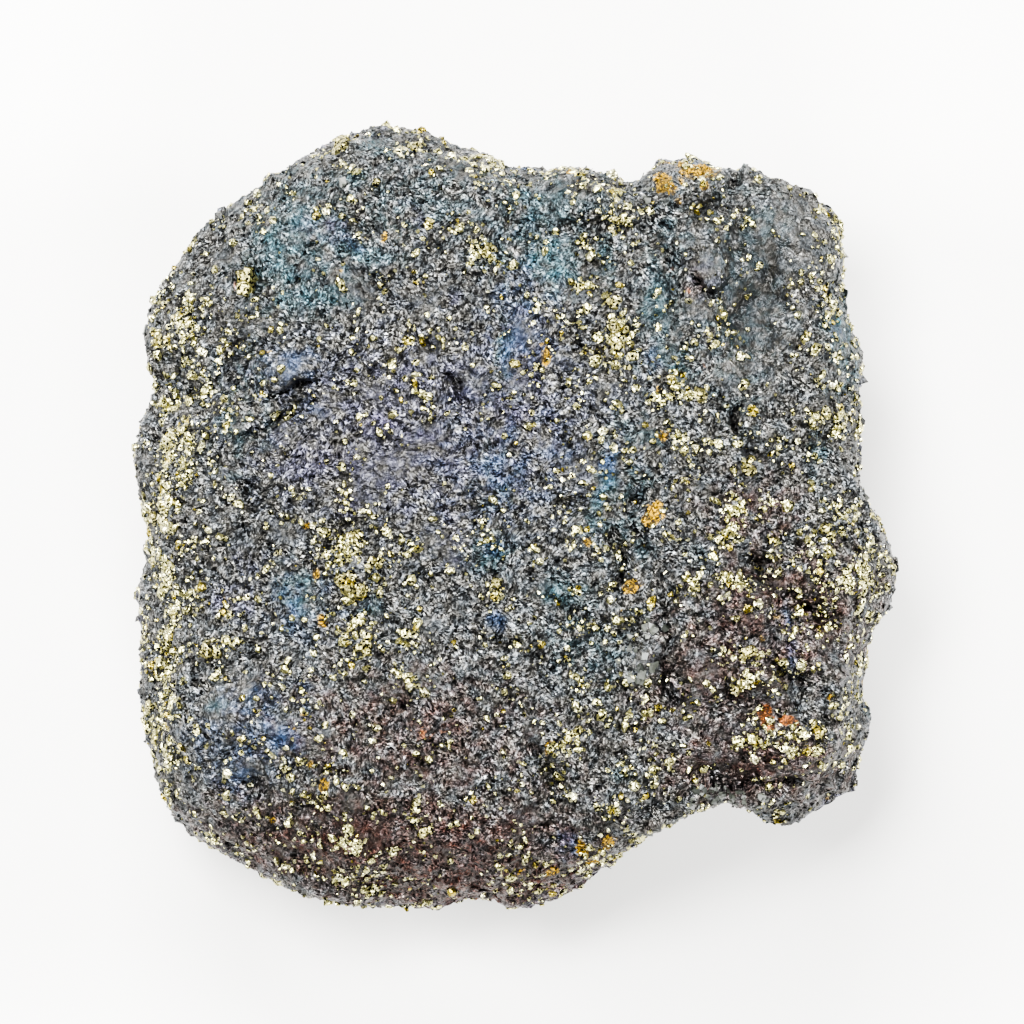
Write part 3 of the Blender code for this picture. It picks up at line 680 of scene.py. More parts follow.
    @staticmethod
    def corner_normals(points: Array, quads: Array) -> Array:
        """Unit normals at the corners: the area-weighted sum of the normals of the faces there.

        Args:
            points: the corners.
            quads: four corner numbers to a face.

        Returns:
            One normal for each corner.
        """
        corners = points[quads]
        flat = np.cross(corners[:, 2] - corners[:, 0], corners[:, 3] - corners[:, 1])
        total = np.stack([np.bincount(quads.ravel(), np.repeat(flat[:, axis], 4), len(points))
                          for axis in range(3)], axis=1)
        return total / np.maximum(np.linalg.norm(total, axis=1), 1e-12)[:, None]


@dataclass(frozen=True)
class Weathering:
    """Where the tarnish, the iron stain and a maroon tint lie on the face, as patches.

    Copper sulphide tarnishes teal, blue and violet, iron-rich grains turn ochre and rust, and a
    darker maroon tint lies mostly along the bottom edge and over the lower right lobe, partly the
    stone's own colour and partly painted shade towards the bottom, away from the light. smooth is
    where the break is smooth. back gives for each its strength and size on the back, and how far
    its patches go on down a side, where they end in a ragged edge.
    """

    teal: Sequence[Patch] = (
        (-19.2, 22.6, 2.5, 5.2, -8, 0.9), (-16.7, 18.4, 3.7, 1.3, 0, 1), (-12, 22, 2.9, 1.2, -8, 0.8),
        (-10.8, 31.5, 2, 1.9, 0, 0.5), (-13.3, 28.1, 1.9, 1.2, 0, 0.5), (-7.4, 27.7, 3.7, 1.5, 0, 0.6),
        (1.4, 26.4, 3.5, 1.2, 10, 0.8), (3.1, 21.6, 2.2, 2.9, 10, 1), (7.7, 21.4, 1, 2.5, 0, 0.6),
        (11.7, 18, 1.3, 2.9, -8, 0.9), (13.1, 13.2, 2.7, 1.5, -10, 0.7), (26.9, 15.9, 1.2, 1.5, 0, 1),
        (20, 15.1, 2.2, 3.4, 0, 0.22), (21.5, 24.8, 1.5, 2.9, 0, 0.25), (-23.2, 6.7, 1.3, 3.7, 0, 0.4),
        (10.7, 6.7, 1.9, 1, 0, 0.7), (7.7, 2.9, 1.3, 2.9, -12, 0.9), (6.9, -0.5, 1.9, 1, 0, 0.6),
        (10.7, -2.2, 1, 1.5, 0, 0.6), (-1.8, -2.9, 2, 1.7, 0, 0.8), (4.1, -6, 2.5, 1.5, 0, 0.8),
        (-17.9, -6.1, 2, 2.5, 0, 0.7), (-11.6, -7.2, 1.2, 1, 0, 0.5), (7.7, -10.6, 2.7, 1.9, 0, 0.4),
        (15.2, -3, 1.3, 1.2, 0, 0.5), (25.2, 4.8, 1, 2.5, 0, 0.5), (-24.7, -15.5, 1, 0.8, 0, 0.6),
        (8.7, -21, 1.2, 1, 0, 0.6), (-0.7, 14.2, 0.8, 2.9, 0, 0.6), (-1.1, 3.3, 2, 3.4, 0, 0.35),
        (-17.5, 23.5, 5, 6.5, 0, 0.55), (2.3, 24.3, 5, 6, 0, 0.55), (12.4, 18.4, 2, 7.5, -8, 0.6),
        (18.7, 18.4, 4, 11, 0, 0.3), (27.4, 14.2, 1.8, 4.5, 0, 0.7), (6.5, -11, 4.5, 4.5, 0, 0.4),
        (9, 3, 3, 6, -10, 0.45), (-8.5, 27, 9, 4, 10, 0.35), (-22.5, 9, 3, 6, 0, 0.3))
    blue: Sequence[Patch] = (
        (-18.6, 12.4, 3, 1.5, 8, 0.7), (-17.1, 9, 1.3, 1, 0, 0.5), (-19.2, -18.2, 2, 1.3, 0, 1),
        (-23.2, -21.3, 2.4, 1.9, 0, 0.8), (-21.1, -14.4, 1, 1.3, 0, 0.6), (-17.5, -14.6, 1, 1.5, 0, 0.5),
        (4.6, -26.9, 1.2, 1.2, 0, 0.9), (22.8, -9.8, 0.5, 2.9, 5, 1), (-1.4, -8.5, 1.2, 0.8, 0, 0.9),
        (7.7, 4.1, 0.8, 2.2, -12, 0.8), (11.4, 13.2, 1, 1, 0, 0.8), (-17.9, -7.2, 1.7, 1.2, 0, 0.6),
        (4, 5.4, 1.2, 1, 0, 0.4), (-13.3, 22.6, 1.5, 0.7, -8, 0.5), (26.9, 15.5, 0.8, 1, 0, 0.5),
        (-1.8, -2.4, 1.2, 0.8, 0, 0.6), (0.6, 15.9, 3, 7, 0, 0.45), (-1.1, 5, 6, 6.5, 0, 0.35),
        (-22, -17.8, 5.5, 4, 20, 0.5), (-17, -7, 5, 3.5, 0, 0.35))
    violet: Sequence[Patch] = (
        (-15.4, 23.9, 2.5, 1.2, 0, 0.6), (-11.2, 7.9, 2.2, 1.2, 0, 1), (-15.4, 5, 5.1, 2.2, 0, 0.7),
        (-13.7, 1.2, 1.5, 1.9, 0, 0.7), (-23, -6.8, 2.2, 1.5, 0, 0.6), (-22.1, -3.5, 1.7, 1.2, 0, 0.4),
        (1, 13, 1, 1.5, 0, 0.8), (0.6, 8.3, 3.4, 1.2, 0, 0.8), (-6.1, 8.8, 2.5, 1.2, 0, 0.5),
        (-4.9, -0.9, 1.5, 3.4, 0, 0.5), (-8.3, 24.8, 1.7, 1.7, 0, 0.3), (-4.9, 18, 0.8, 0.8, 0, 0.5),
        (-0.7, 14.7, 1.3, 4.2, 0, 0.3), (-7, 7.5, 14.3, 8.4, 0, 0.55), (15.7, 19.7, 2, 1.7, 0, 0.22),
        (-10.4, 7.5, 6, 4, 0, 0.6), (-17, 5, 5, 3, 0, 0.6), (0.6, 13, 4, 6, 0, 0.5))
    ochre: Sequence[Patch] = (
        (15.3, 29.2, 1.9, 1, -15, 1), (12, 28.2, 0.6, 0.4, 30, 0.9), (13.1, 27.4, 0.5, 0.6, 0, 0.9),
        (15.8, 27.5, 0.5, 0.4, 0, 0.9), (13.6, 26.3, 0.5, 0.4, 0, 0.7), (11.5, 26, 0.4, 0.3, 0, 0.5),
        (14.4, 28.4, 2.6, 1.8, 0, 0.38), (12.5, 27.8, 0.9, 1.1, 20, 0.85), (4.8, 28.9, 0.5, 0.4, 0, 0.8),
        (5.4, 28, 0.3, 0.3, 0, 0.5), (6.1, 26.3, 0.4, 0.3, 0, 0.5), (-10.6, 23.3, 0.4, 0.6, 0, 0.7),
        (-9.1, 23.4, 0.8, 0.3, 0, 0.35), (-6.6, 27.3, 0.3, 0.3, 0, 0.4), (-14.1, 20.5, 0.7, 0.3, 0, 0.4),
        (-20.3, 13.8, 0.8, 0.3, 0, 0.4), (2.7, 13.6, 0.5, 1.1, 0, 0.8), (12, 10.7, 0.5, 0.4, 0, 0.5),
        (12.4, 6.8, 0.4, 0.6, 0, 0.8), (11.5, 0.2, 0.8, 1.1, -20, 1), (12, 1.2, 0.5, 0.5, 0, 0.9),
        (6.1, -1.9, 0.5, 0.5, 0, 0.9), (9.7, -5.6, 0.8, 0.7, 20, 1), (9, -7.5, 0.3, 0.3, 0, 0.4),
        (-16.2, -4.5, 0.4, 0.6, 0, 0.8), (-15.7, -8.5, 0.4, 0.7, 20, 0.8), (-16.9, -0.6, 0.6, 0.3, 0, 0.8),
        (-13.3, 4, 0.4, 0.4, 0, 0.4), (-23.7, -6.5, 0.4, 0.3, 0, 0.5), (-13.3, -8.5, 0.4, 0.4, 0, 0.4),
        (-17.3, -16.3, 0.4, 0.4, 0, 0.6), (-18.2, -17.3, 0.4, 0.4, 0, 0.5),
        (-16.7, -20.3, 0.4, 0.5, 0, 0.6), (-15.6, -22, 0.5, 0.7, 0, 0.9), (-20.1, -25.1, 0.4, 0.5, 0, 0.7),
        (2.9, -19, 0.5, 0.8, 0, 0.7), (20.5, -9.9, 0.4, 0.5, 0, 0.7), (21.6, -8.1, 0.6, 0.4, 0, 0.5),
        (26.1, -14.7, 0.4, 0.4, 0, 0.5), (26.9, -0.5, 0.3, 0.3, 0, 0.4), (5.8, -27.4, 0.5, 1, 15, 1),
        (6.7, -28.7, 0.8, 0.4, 0, 1), (7.9, -26.9, 0.6, 0.8, 0, 1), (3.2, -29.5, 0.8, 0.5, 20, 0.9),
        (0.6, -29.4, 0.7, 0.5, 0, 0.4))
    rust: Sequence[Patch] = (
        (13.1, 20.3, 0.4, 1, 0, 0.45), (14.5, 18.9, 0.4, 0.4, 0, 0.4), (15.7, 12.5, 0.5, 0.5, 0, 0.35),
        (24.7, 20.3, 0.4, 0.6, 0, 0.5), (23.9, 18.9, 0.3, 0.4, 0, 0.45), (-6.7, -17.8, 1.9, 1.3, 0, 0.4),
        (20.8, -16.1, 0.7, 0.9, 0, 1), (21.1, -17.1, 0.6, 0.5, 0, 1), (22.6, -16.6, 0.8, 0.5, 0, 1),
        (23.3, -16.8, 0.5, 0.4, 0, 0.7), (-23, 19.5, 0.8, 1.2, 0, 0.3))
    # Maroon tint, mostly along the bottom edge and over the lower right lobe: partly the stone's own
    # colour, partly painted shade
    maroon: Sequence[Patch] = (
        (-9.5, -27.9, 14.3, 3.7, 0, 0.8), (-3.6, -22, 10.1, 5.1, 0, 0.4), (11.5, -15.2, 3.4, 2.5, 0, 0.4),
        (24.2, -7.2, 5.2, 3.5, 0, 0.6), (-6.7, -17.3, 3, 2.2, 0, 0.6), (20.8, -11.9, 2.9, 5.1, 0, 0.5),
        (14.9, 19.7, 2, 2, 0, 0.4), (15.7, -6.8, 3.4, 5.1, 0, 0.3), (17.4, -22, 5.1, 2.5, 0, 0.5),
        (-10.4, -27, 17, 4.8, 0, 1), (-4, -30.5, 15, 3.4, 0, 1), (-7.8, -17.8, 12, 5.5, 0, 0.6),
        (22.5, -7.7, 9, 5.5, 0, 0.75), (16.7, -13, 6, 7.5, 0, 0.65), (20, -20.3, 9, 3.8, 0, 0.8),
        (20, 0, 5, 4.5, 0, 0.5))
    smooth: Sequence[Patch] = (
        (16.3, 21, 2.2, 1.5, 0, 0.8), (17.6, 24.8, 1.6, 1.2, 0, 0.8), (20, 18.6, 3.7, 8.8, 0, 1),
        (22.4, 23.4, 3.4, 4.4, 20, 0.8), (16, 23.2, 2.4, 4, 10, 0.6), (12, 17.6, 1.8, 4, -8, 0.6),
        (-18.6, 12.4, 2.9, 1.5, 8, 0.72), (-18.8, -17.6, 2.9, 1.9, 0, 0.65),
        (-23.4, -15.2, 2.2, 4.2, 0, 0.6), (10.9, -12, 2, 1.9, 0, 0.7), (-18.6, 21.6, 2.2, 3.4, 0, 0.4),
        (2.3, 26.4, 2.5, 1.3, 0, 0.4), (-2.8, -2.2, 2, 1.7, 0, 0.4), (6.5, 2.4, 1.7, 3.4, 0, 0.4),
        (3.1, 21.6, 2.6, 3.2, 10, 0.5), (-17, 22.8, 3, 4.2, 0, 0.5), (0.6, 14.2, 2.2, 3.6, 0, 0.4),
        (8.6, 2.6, 1.8, 4.2, -10, 0.5), (-1.6, 4.4, 4, 3.6, 0, 0.3), (27.2, 14.8, 1.2, 2.8, 0, 0.6),
        (-11, 8.2, 3, 2.4, 0, 0.4), (-17.6, -6.4, 2.2, 2.2, 0, 0.4), (12.2, 13.6, 1.8, 1.8, 0, 0.5))
    back: Mapping[str, tuple[float, float, float]] = table({
        "teal": (0.5, 7.0, 3.6), "blue": (0.4, 5.0, 3.6), "violet": (0.5, 8.0, 3.6),
        "smooth": (0.5, 6.0, 3.6), "ochre": (0.42, 2.0, 5.0), "rust": (0.34, 2.6, 3.6),
        "maroon": (0.6, 9.0, 9.0)})
    ragged_edge: float = 1.6
    ragged_mm: float = 1.8
    edge_fade: float = 2.4

    def masks(self, form: StoneForm, points: Array) -> dict[str, Array]:
        """Colours for the finishes to read: patches on the face, and noise on the back.

        A film's share on the face fades out below the level of the face, past the film's reach,
        and gives way to noise, of which only the part above a level counts. Smoothness has
        patches of noise on the face too.

        Args:
            form: the stone's form, which gives the face's height, so that no patch runs down a side.
            points: places before the stone's shift.

        Returns:
            "tarnish": teal, blue, violet and smoothness; "stain": ochre, rust, maroon and 1.
        """
        x, y, z = points.T
        below, shares = form.level(x, y, True) - z, []
        for channel, (film, (strength, size, reach)) in enumerate(self.back.items(), 201):
            drop = below + self.ragged_edge * NOISE.swell(points, self.ragged_mm, channel + 20)
            on_face = np.clip(1.0 - (drop - reach) / self.edge_fade, 0.0, 1.0)
            patchy = strength * np.clip(1.8 * NOISE.swell(points, size, channel) - 0.2, 0.0, 1.0)
            shares.append(on_face * strongest(x, y, getattr(self, film)) + (1.0 - on_face) * patchy)
        shares[3] = np.maximum(shares[3], np.clip(2.6 * NOISE.swell(points, 2.7, 208) - 0.75, 0.0, 0.75))
        return {"tarnish": np.stack(shares[:4], axis=1),
                "stain": np.stack(shares[4:] + [np.ones(len(points))], axis=1)}


def linear(hex_colour: str) -> tuple[float, ...]:
    """Turns an sRGB hex colour, such as "#8a8d96", into linear red, green, blue and alpha."""
    parts = [int(hex_colour[start:start + 2], 16) / 255.0 for start in (1, 3, 5)]
    return (*[part / 12.92 if part <= 0.04045 else ((part + 0.055) / 1.055) ** 2.4 for part in parts], 1.0)


def add_node(tree: bpy.types.NodeTree, kind: str, *inputs: Any, out: Any = 0, more: Mapping = {},
             ramp: Sequence = (), **settings: Any) -> bpy.types.NodeSocket:
    """Adds a shader node with its settings and links.

    Args:
        tree: the material's nodes.
        kind: the node's type, with its operation after a colon.
        inputs: what feeds its inputs in order: a socket, a value, a hex colour, or None to pass.
        out: number or name of the output that is wanted.
        more: what feeds further inputs, by number or name.
        ramp: a colour ramp's stops, as pairs of place and hex colour.
        settings: the node's own properties.

    Returns:
        The output's socket.
    """
    kind, _, operation = kind.partition(":")
    if operation:
        settings["operation"] = operation
    made = tree.nodes.new("ShaderNode" + kind)
    for name, value in settings.items():
        setattr(made, name, value)
    for name, value in {**dict(enumerate(inputs)), **more}.items():
        if isinstance(value, bpy.types.NodeSocket):
            tree.links.new(value, made.inputs[name])
        elif value is not None:
            made.inputs[name].default_value = linear(value) if isinstance(value, str) else value
    for _ in ramp[2:]:
        made.color_ramp.elements.new(0.5)
    for number, (place, colour) in enumerate(ramp):
        stop = made.color_ramp.elements[number]
        stop.position, stop.color = place, linear(colour)
    return made.outputs[out]


# Short names for the kinds of node that a finish uses most, and how a Mix node blends colours
TIMES, PLUS, MINUS, MOST, LEAST, ABOVE, BELOW, POWER, SCALED = (
    "Math:MULTIPLY", "Math:ADD", "Math:SUBTRACT", "Math:MAXIMUM", "Math:MINIMUM",
    "Math:GREATER_THAN", "Math:LESS_THAN", "Math:POWER", "Math:MULTIPLY_ADD")
BLEND = {"data_type": "RGBA", "out": 2}
Node = Callable[..., bpy.types.NodeSocket]


def leaning(node: Node, normal: Any, colour: Any, amount: Any) -> bpy.types.NodeSocket:
    """A normal that leans at random: the unit vector of normal + amount * (colour - half).

    Args:
        node: adds a node to the material.
        normal: the normal's socket.
        colour: the random colour's socket.
        amount: a number or a socket.

    Returns:
        The new normal's socket.
    """
    centred = node("VectorMath:SUBTRACT", colour, (0.5, 0.5, 0.5))
    lean = node("VectorMath:SCALE", centred, more={"Scale": amount})
    return node("VectorMath:NORMALIZE", node("VectorMath:ADD", normal, lean))


@dataclass(frozen=True)
class Finish:
    """A material of one Principled shader, fed by a pattern that each finish gives."""

    name: str

    def pattern(self, node: Node) -> dict[str, Any]:
        """What feeds the shader's inputs, by name: sockets and values."""
        return {}

    @cache
    def make(self) -> bpy.types.Material:
        """Builds the material once, so that pieces of the same finish share it.

        Returns:
            The material.
        """
        material = bpy.data.materials.new(self.name)
        material.use_nodes = True
        tree = material.node_tree
        shader = tree.nodes["Principled BSDF"]
        for name, value in self.pattern(partial(add_node, tree)).items():
            if isinstance(value, bpy.types.NodeSocket):
                tree.links.new(value, shader.inputs[name])
            else:
                shader.inputs[name].default_value = value
        return material


@dataclass(frozen=True)
class Chalcocite(Finish):
    """Massive chalcocite, broken and weathered: lead-grey metal grains under a peacock tarnish.

    The break is hackly. Its thin crooked edges are painted as light strokes a tenth of a millimetre
    wide on a near-black ground: painted highlights that stand for edges catching the lamps. Raised
    places are painted lighter and hollows darker, and painted shade darkens hollows and the gaps round
    grains. The tarnish films colour both, while the iron stain is a dull earthy crust that hides them,
    though its own colour is scaled by the same painted light and shade. A band is the range of its
    source that counts, and the values it turns into where they aren't 0 and 1.
    """

    name: str = "massive chalcocite, weathered break"
    thread_mm: float = 0.18
    crack_mm: float = 0.55
    busy_mm: float = 2.0
    fleck_mm: float = 0.34
    blotch_mm: float = 1.2
    bump_mm: float = 0.06
    crack_levels: Sequence[float] = (0.5, 0.38)
    crack_width: float = 0.040
    drawn_out: float = 0.50
    edge_band: Sequence[float] = (0.45, 0.57)
    crowd_band: Sequence[float] = (0.34, 0.62, 0.55, 1.0)
    calm_band: Sequence[float] = (0.15, 0.9, 0.0, 0.85)
    hue_band: Sequence[float] = (0.4, 0.62)
    sheen_band: Sequence[float] = (0.35, 0.62, 0.15, 1.0)
    earth_band: Sequence[float] = (0.38, 0.6)
    crust_light_and_shade_band: Sequence[float] = (0.02, 0.55, 0.06, 1.0)
    rough_band: Sequence[float] = (0.3, 0.7, 0.50, 0.30)
    gap_most: float = 0.9
    # how far the painted shade in hollows and round grains darkens the colour at most
    painted_shade_most: float = 0.78
    film_start: float = 0.56
    film_gain: float = 2.4
    film_most: float = 0.72
    dust_half: float = 0.14
    dust_spread: float = 0.18
    dust_seam: float = 0.13
    lean: float = 1.1
    metallic: float = 0.75
    shade_share: float = 0.0
    ground: float = 0.025
    edge: float = 1.0
    crust_start: float = 0.88
    crust_gain: float = 4.5
    neutral: str = "#91979b"
    warm: str = "#989691"
    teal: str = "#548c9a"
    blue: str = "#5c7fb4"
    violet: str = "#8c85ac"
    maroon: str = "#7f4a3a"
    brass: str = "#d6d092"
    seam: str = "#08080a"
    ochre: str = "#74580c"
    gold: str = "#c59d18"
    rust: str = "#a2612a"

    def pattern(self, node: Node) -> dict[str, Any]:
        """Strokes, facets, gaps, films, pyrite dust and crust, each as its comment says.

        Args:
            node: adds a node to the material.

        Returns:
            What feeds the shader's inputs.
        """
        place = node("TexCoord", out="Object")
        tarnish, stain = (node("Attribute", attribute_name=name, out="Color")
                          for name in ("tarnish", "stain"))
        relief, painted_shade, rich, shade = (node("Attribute", attribute_name=name, out="Fac")
                                     for name in ("relief", "painted_shade", "rich", "shade"))
        teal, blue, violet = node("SeparateColor", tarnish).node.outputs[0:3]
        ochre, rust, maroon = node("SeparateColor", stain).node.outputs[0:3]
        smooth = tarnish.node.outputs["Alpha"]

        # Strokes of the break run one of four ways within a patch of a few millimetres: the patch
        # turns the coordinates by a multiple of an eighth of a turn and draws them out
        busy = node("TexNoise", place, None, 1.0 / (self.busy_mm * MM), 1.0)
        ways = node("SeparateColor", busy.node.outputs["Color"]).node.outputs
        half, eighth = (node(TIMES, node(ABOVE, way, 0.5), turn)
                        for way, turn in ((ways[0], math.pi / 2.0), (ways[1], math.pi / 4.0)))
        turned = node("VectorRotate", place, rotation_type="Z_AXIS",
                      more={"Angle": node(PLUS, half, eighth)})
        strokes = node("VectorMath:MULTIPLY", turned, (1.0, self.drawn_out, 0.8))
        thread, crack = (node("TexNoise", strokes, None, 1.0 / (size * MM), 1.0)
                         for size in (self.thread_mm, self.crack_mm))

        # Facets: irregular cells, each of which leans and shines its own way
        fleck = self.fleck_mm * MM
        pushed = node("VectorMath:MULTIPLY_ADD", thread.node.outputs["Color"], (fleck,) * 3, place)
        distance = node("TexVoronoi", pushed, None, 1.0 / fleck, distance="CHEBYCHEV")
        cell = distance.node.outputs["Color"]
        drawn = node("SeparateColor", cell).node.outputs

        # Painted highlights: light strokes where one noise is high stand for lit hackly edges,
        # and black lines lie where another noise crosses a level
        line = node("MapRange", thread, *self.edge_band)
        gaps = node(MOST, *(node("MapRange", node("Math:ABSOLUTE", node(MINUS, crack, level)),
                                 0.0, self.crack_width, 1.0, 0.0) for level in self.crack_levels))
        crowd = node("MapRange", busy, *self.crowd_band)
        calm = node("MapRange", smooth, *self.calm_band)
        hackly = node(MINUS, 1.0, calm)
        shine = node(SCALED, node(POWER, drawn[2], 1.6), 0.66, 0.36)
        bright = node(TIMES, node(TIMES, line, crowd), shine)
        bright = node(SCALED, bright, hackly, node(SCALED, calm, 0.085, 0.06))
        # Painted light and shade: raised places are lightened and hollows darkened by relief
        bright = node(SCALED, relief, node(SCALED, calm, -0.18, 0.25), bright)
        bright = node(SCALED, shade, 0.6 * self.shade_share, node(TIMES, bright, 1.0 - self.shade_share),
                      use_clamp=True)
        level = node(TIMES, bright, node(SCALED, gaps, node(TIMES, hackly, -self.gap_most), 1.0))
        # Painted shade darkens hollows and the gaps round grains
        level = node(TIMES, level, node(SCALED, painted_shade, -self.painted_shade_most, 1.0))
        value = node("MapRange", level, 0.0, 1.0, self.ground, self.edge)

        # Films of tarnish, broken into blotches of about a millimetre
        blotch = node("TexNoise", place, None, 1.0 / (self.blotch_mm * MM), 2.0, 0.6)
        hue = node("Mix", node("MapRange", blotch, *self.hue_band),
                   more={6: self.warm, 7: self.neutral}, **BLEND)
        wander = node("SeparateColor", blotch.node.outputs["Color"]).node.outputs
        # The maroon tint is partly the stone's own colour and partly painted shade along the bottom and the
        # lobe
        for film, part, tone in ((violet, 0, self.violet), (teal, 1, self.teal), (blue, 2, self.blue),
                                 (maroon, 1, self.maroon)):
            broken = node(SCALED, node(MINUS, wander[part], self.film_start), self.film_gain, film)
            share = node(TIMES, node(LEAST, broken, node(TIMES, film, 1.8)), self.film_most, use_clamp=True)
            hue = node("Mix", share, more={6: hue, 7: tone}, **BLEND)
        metal = node("VectorMath:SCALE", hue, more={"Scale": value})

        # Pyrite dust: flecks too small to be grains of their own, angular, each in a thin dark seam
        chosen = node(ABOVE, rich, drawn[0])
        reach = node(SCALED, drawn[1], self.dust_spread, self.dust_half)
        inside, edged = (node(TIMES, chosen, node(BELOW, distance, limit))
                         for limit in (reach, node(PLUS, reach, self.dust_seam)))
        metal = node("Mix", node(TIMES, edged, 0.8), more={6: metal, 7: self.seam}, **BLEND)
        sheen = node("VectorMath:SCALE", linear(self.brass)[:3],
                     more={"Scale": node("MapRange", thread, *self.sheen_band)})
        metal = node("Mix", inside, more={6: metal, 7: sheen}, **BLEND)

        # Iron stain: ochre and gold crust, and rust, their colour scaled by the level, so that they carry
        # the same painted highlights and shade
        crusts = [node(TIMES, node(TIMES, node(MINUS, node(PLUS, film, crack), self.crust_start),
                                   self.crust_gain, use_clamp=True), node(TIMES, film, 3.0, use_clamp=True))
                  for film in (ochre, rust)]
        crust = node(MOST, *crusts)
        crust_light_and_shade = node("MapRange", level, *self.crust_light_and_shade_band)
        earth = node("Mix", node("MapRange", thread, *self.earth_band),
                     more={6: self.ochre, 7: self.gold}, **BLEND)
        for share, source in zip(crusts, (earth, linear(self.rust)[:3])):
            crust_with_light_and_shade = node("VectorMath:SCALE", source, more={"Scale": crust_light_and_shade})
            metal = node("Mix", share, more={6: metal, 7: crust_with_light_and_shade}, **BLEND)

        # A crust is duller and rougher than the metal, and facets lean less where the break is smooth
        bump = node("Bump", more={"Strength": 0.8, "Distance": self.bump_mm * MM, "Height": line})
        return {"Base Color": metal,
                "Metallic": node(TIMES, node(SCALED, crust, -0.45, 1.0), self.metallic),
                "Roughness": node(SCALED, crust, 0.25, node("MapRange", busy, *self.rough_band)),
                "Normal": leaning(node, bump, cell, node(TIMES, hackly, self.lean))}


@dataclass(frozen=True)
class Pyrite(Finish):
    """Pyrite, natural crystal and broken faces: brassy metal, pale where fresh.

    A face is nearly a mirror, so a grain is bright cream on one side and olive on the other. A
    few grains carry a golden tarnish, and dark cracks and small facets break up the faces.
    """

    name: str = "pyrite, natural faces"
    roughness: float = 0.30
    facet_mm: float = 0.24
    lean: float = 0.75
    cracked: float = 0.42
    brass: str = "#bab683"
    pale: str = "#dfdcb4"
    golden: str = "#9f9148"
    seam: str = "#14130e"

    def pattern(self, node: Node) -> dict[str, Any]:
        """A tone for each grain, and facets with dark cracks where their noise is low.

        Args:
            node: adds a node to the material.

        Returns:
            What feeds the shader's inputs.
        """
        shade = node("Attribute", attribute_name="shade", out="Fac")
        tone = node("ValToRGB", shade, ramp=((0.0, self.golden), (0.04, self.golden), (0.09, self.brass),
                                             (0.7, self.brass), (1.0, self.pale)))
        facet = node("TexNoise", node("TexCoord", out="Object"), None, 1.0 / (self.facet_mm * MM), 1.0)
        clean = node("MapRange", facet, self.cracked - 0.04, self.cracked + 0.06)
        dull, bright = self.roughness + 0.12, self.roughness - 0.06
        return {"Base Color": node("Mix", clean, more={6: self.seam, 7: tone}, **BLEND),
                "Metallic": 1.0,
                "Roughness": node("MapRange", facet, 0.3, 0.7, dull, bright),
                "Normal": leaning(node, node("NewGeometry", out="Normal"), facet.node.outputs["Color"],
                                  2.0 * self.lean)}


@dataclass(frozen=True)
class Quartz(Finish):
    """Milky quartz, broken: glassy grey-white grains that let some light through."""

    name: str = "milky quartz, broken grains"
    milk: str = "#7c7f76"
    grey: str = "#262a25"
    veil_mm: float = 0.3
    bend: float = 1.544
    clear: float = 0.35
    roughness: Sequence[float] = (0.2, 0.6)

    def pattern(self, node: Node) -> dict[str, Any]:
        """Cloudy veils, denser in some grains than in others, that also dull the surface.

        Args:
            node: adds a node to the material.

        Returns:
            What feeds the shader's inputs.
        """
        shade = node("Attribute", attribute_name="shade", out="Fac")
        veil = node("TexNoise", node("TexCoord", out="Object"), None, 1.0 / (self.veil_mm * MM), 3.0)
        clouded = node(TIMES, shade, veil)
        return {"Base Color": node("Mix", clouded, more={6: self.grey, 7: self.milk}, **BLEND),
                "IOR": self.bend, "Transmission Weight": self.clear,
                "Roughness": node("MapRange", veil, 0.0, 1.0, *self.roughness)}


@dataclass(frozen=True)
class Card(Finish):
    """Matt pale card, even and dull, as a studio floor."""

    name: str = "studio floor, matt card"
    colour: str = "#dcdbd8"

    def pattern(self, node: Node) -> dict[str, Any]:
        """One even colour, which needs no node."""
        return {"Base Color": linear(self.colour), "Roughness": 0.8}


def add_attributes(mesh: bpy.types.Mesh, attributes: Mapping[str, Array]) -> None:
    """Writes named values to a mesh's corners.

    Args:
        mesh: the mesh.
        attributes: one, three or four numbers for each corner, by name.
    """
    kinds = {1: ("FLOAT", "value"), 3: ("FLOAT_VECTOR", "vector"), 4: ("FLOAT_COLOR", "color")}
    for title, values in attributes.items():
        kind, key = kinds[1 if values.ndim == 1 else values.shape[1]]
        layer = mesh.attributes.new(title, kind, "POINT")
        layer.data.foreach_set(key, np.ascontiguousarray(values, dtype=np.float32).ravel())


def fill_mesh(name: str, points: Array, faces: Array,
              attributes: Mapping[str, Array] = {}) -> bpy.types.Mesh:
    """Makes a mesh in metres from arrays in millimetres.

    Args:
        name: the mesh's name.
        points: corners, three numbers each.
        faces: corner numbers, the same count for each face.
        attributes: named values for each corner.

    Returns:
        The mesh.
    """
    mesh = bpy.data.meshes.new(name)
    mesh.from_pydata((points * MM).tolist(), [], faces.tolist())
    add_attributes(mesh, attributes)
    return mesh


def place_object(name: str, data: Any) -> bpy.types.Object:
    """Puts a mesh, lamp or camera into the scene.

    Args:
        name: the object's name.
        data: what it shows.

    Returns:
        The object.
    """
    made = bpy.data.objects.new(name, data)
    bpy.context.scene.collection.objects.link(made)
    return made


def show(mesh: bpy.types.Mesh, finish: Finish) -> bpy.types.Object:
    """Dresses a finished mesh as a piece, flat-faceted, that rides on the stone's one body.

    Args:
        mesh: the finished mesh.
        finish: its finish.

    Returns:
        The piece.
    """
    mesh.materials.clear()
    mesh.materials.append(finish.make())
    mesh.polygons.foreach_set("use_smooth", np.zeros(len(mesh.polygons), bool))
    piece = place_object(mesh.name, mesh)
    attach(piece, BODY)
    mesh.calc_loop_triangles()
    log.info("%s: %d triangles, %s", piece.name, len(mesh.loop_triangles), finish.name)
    return piece


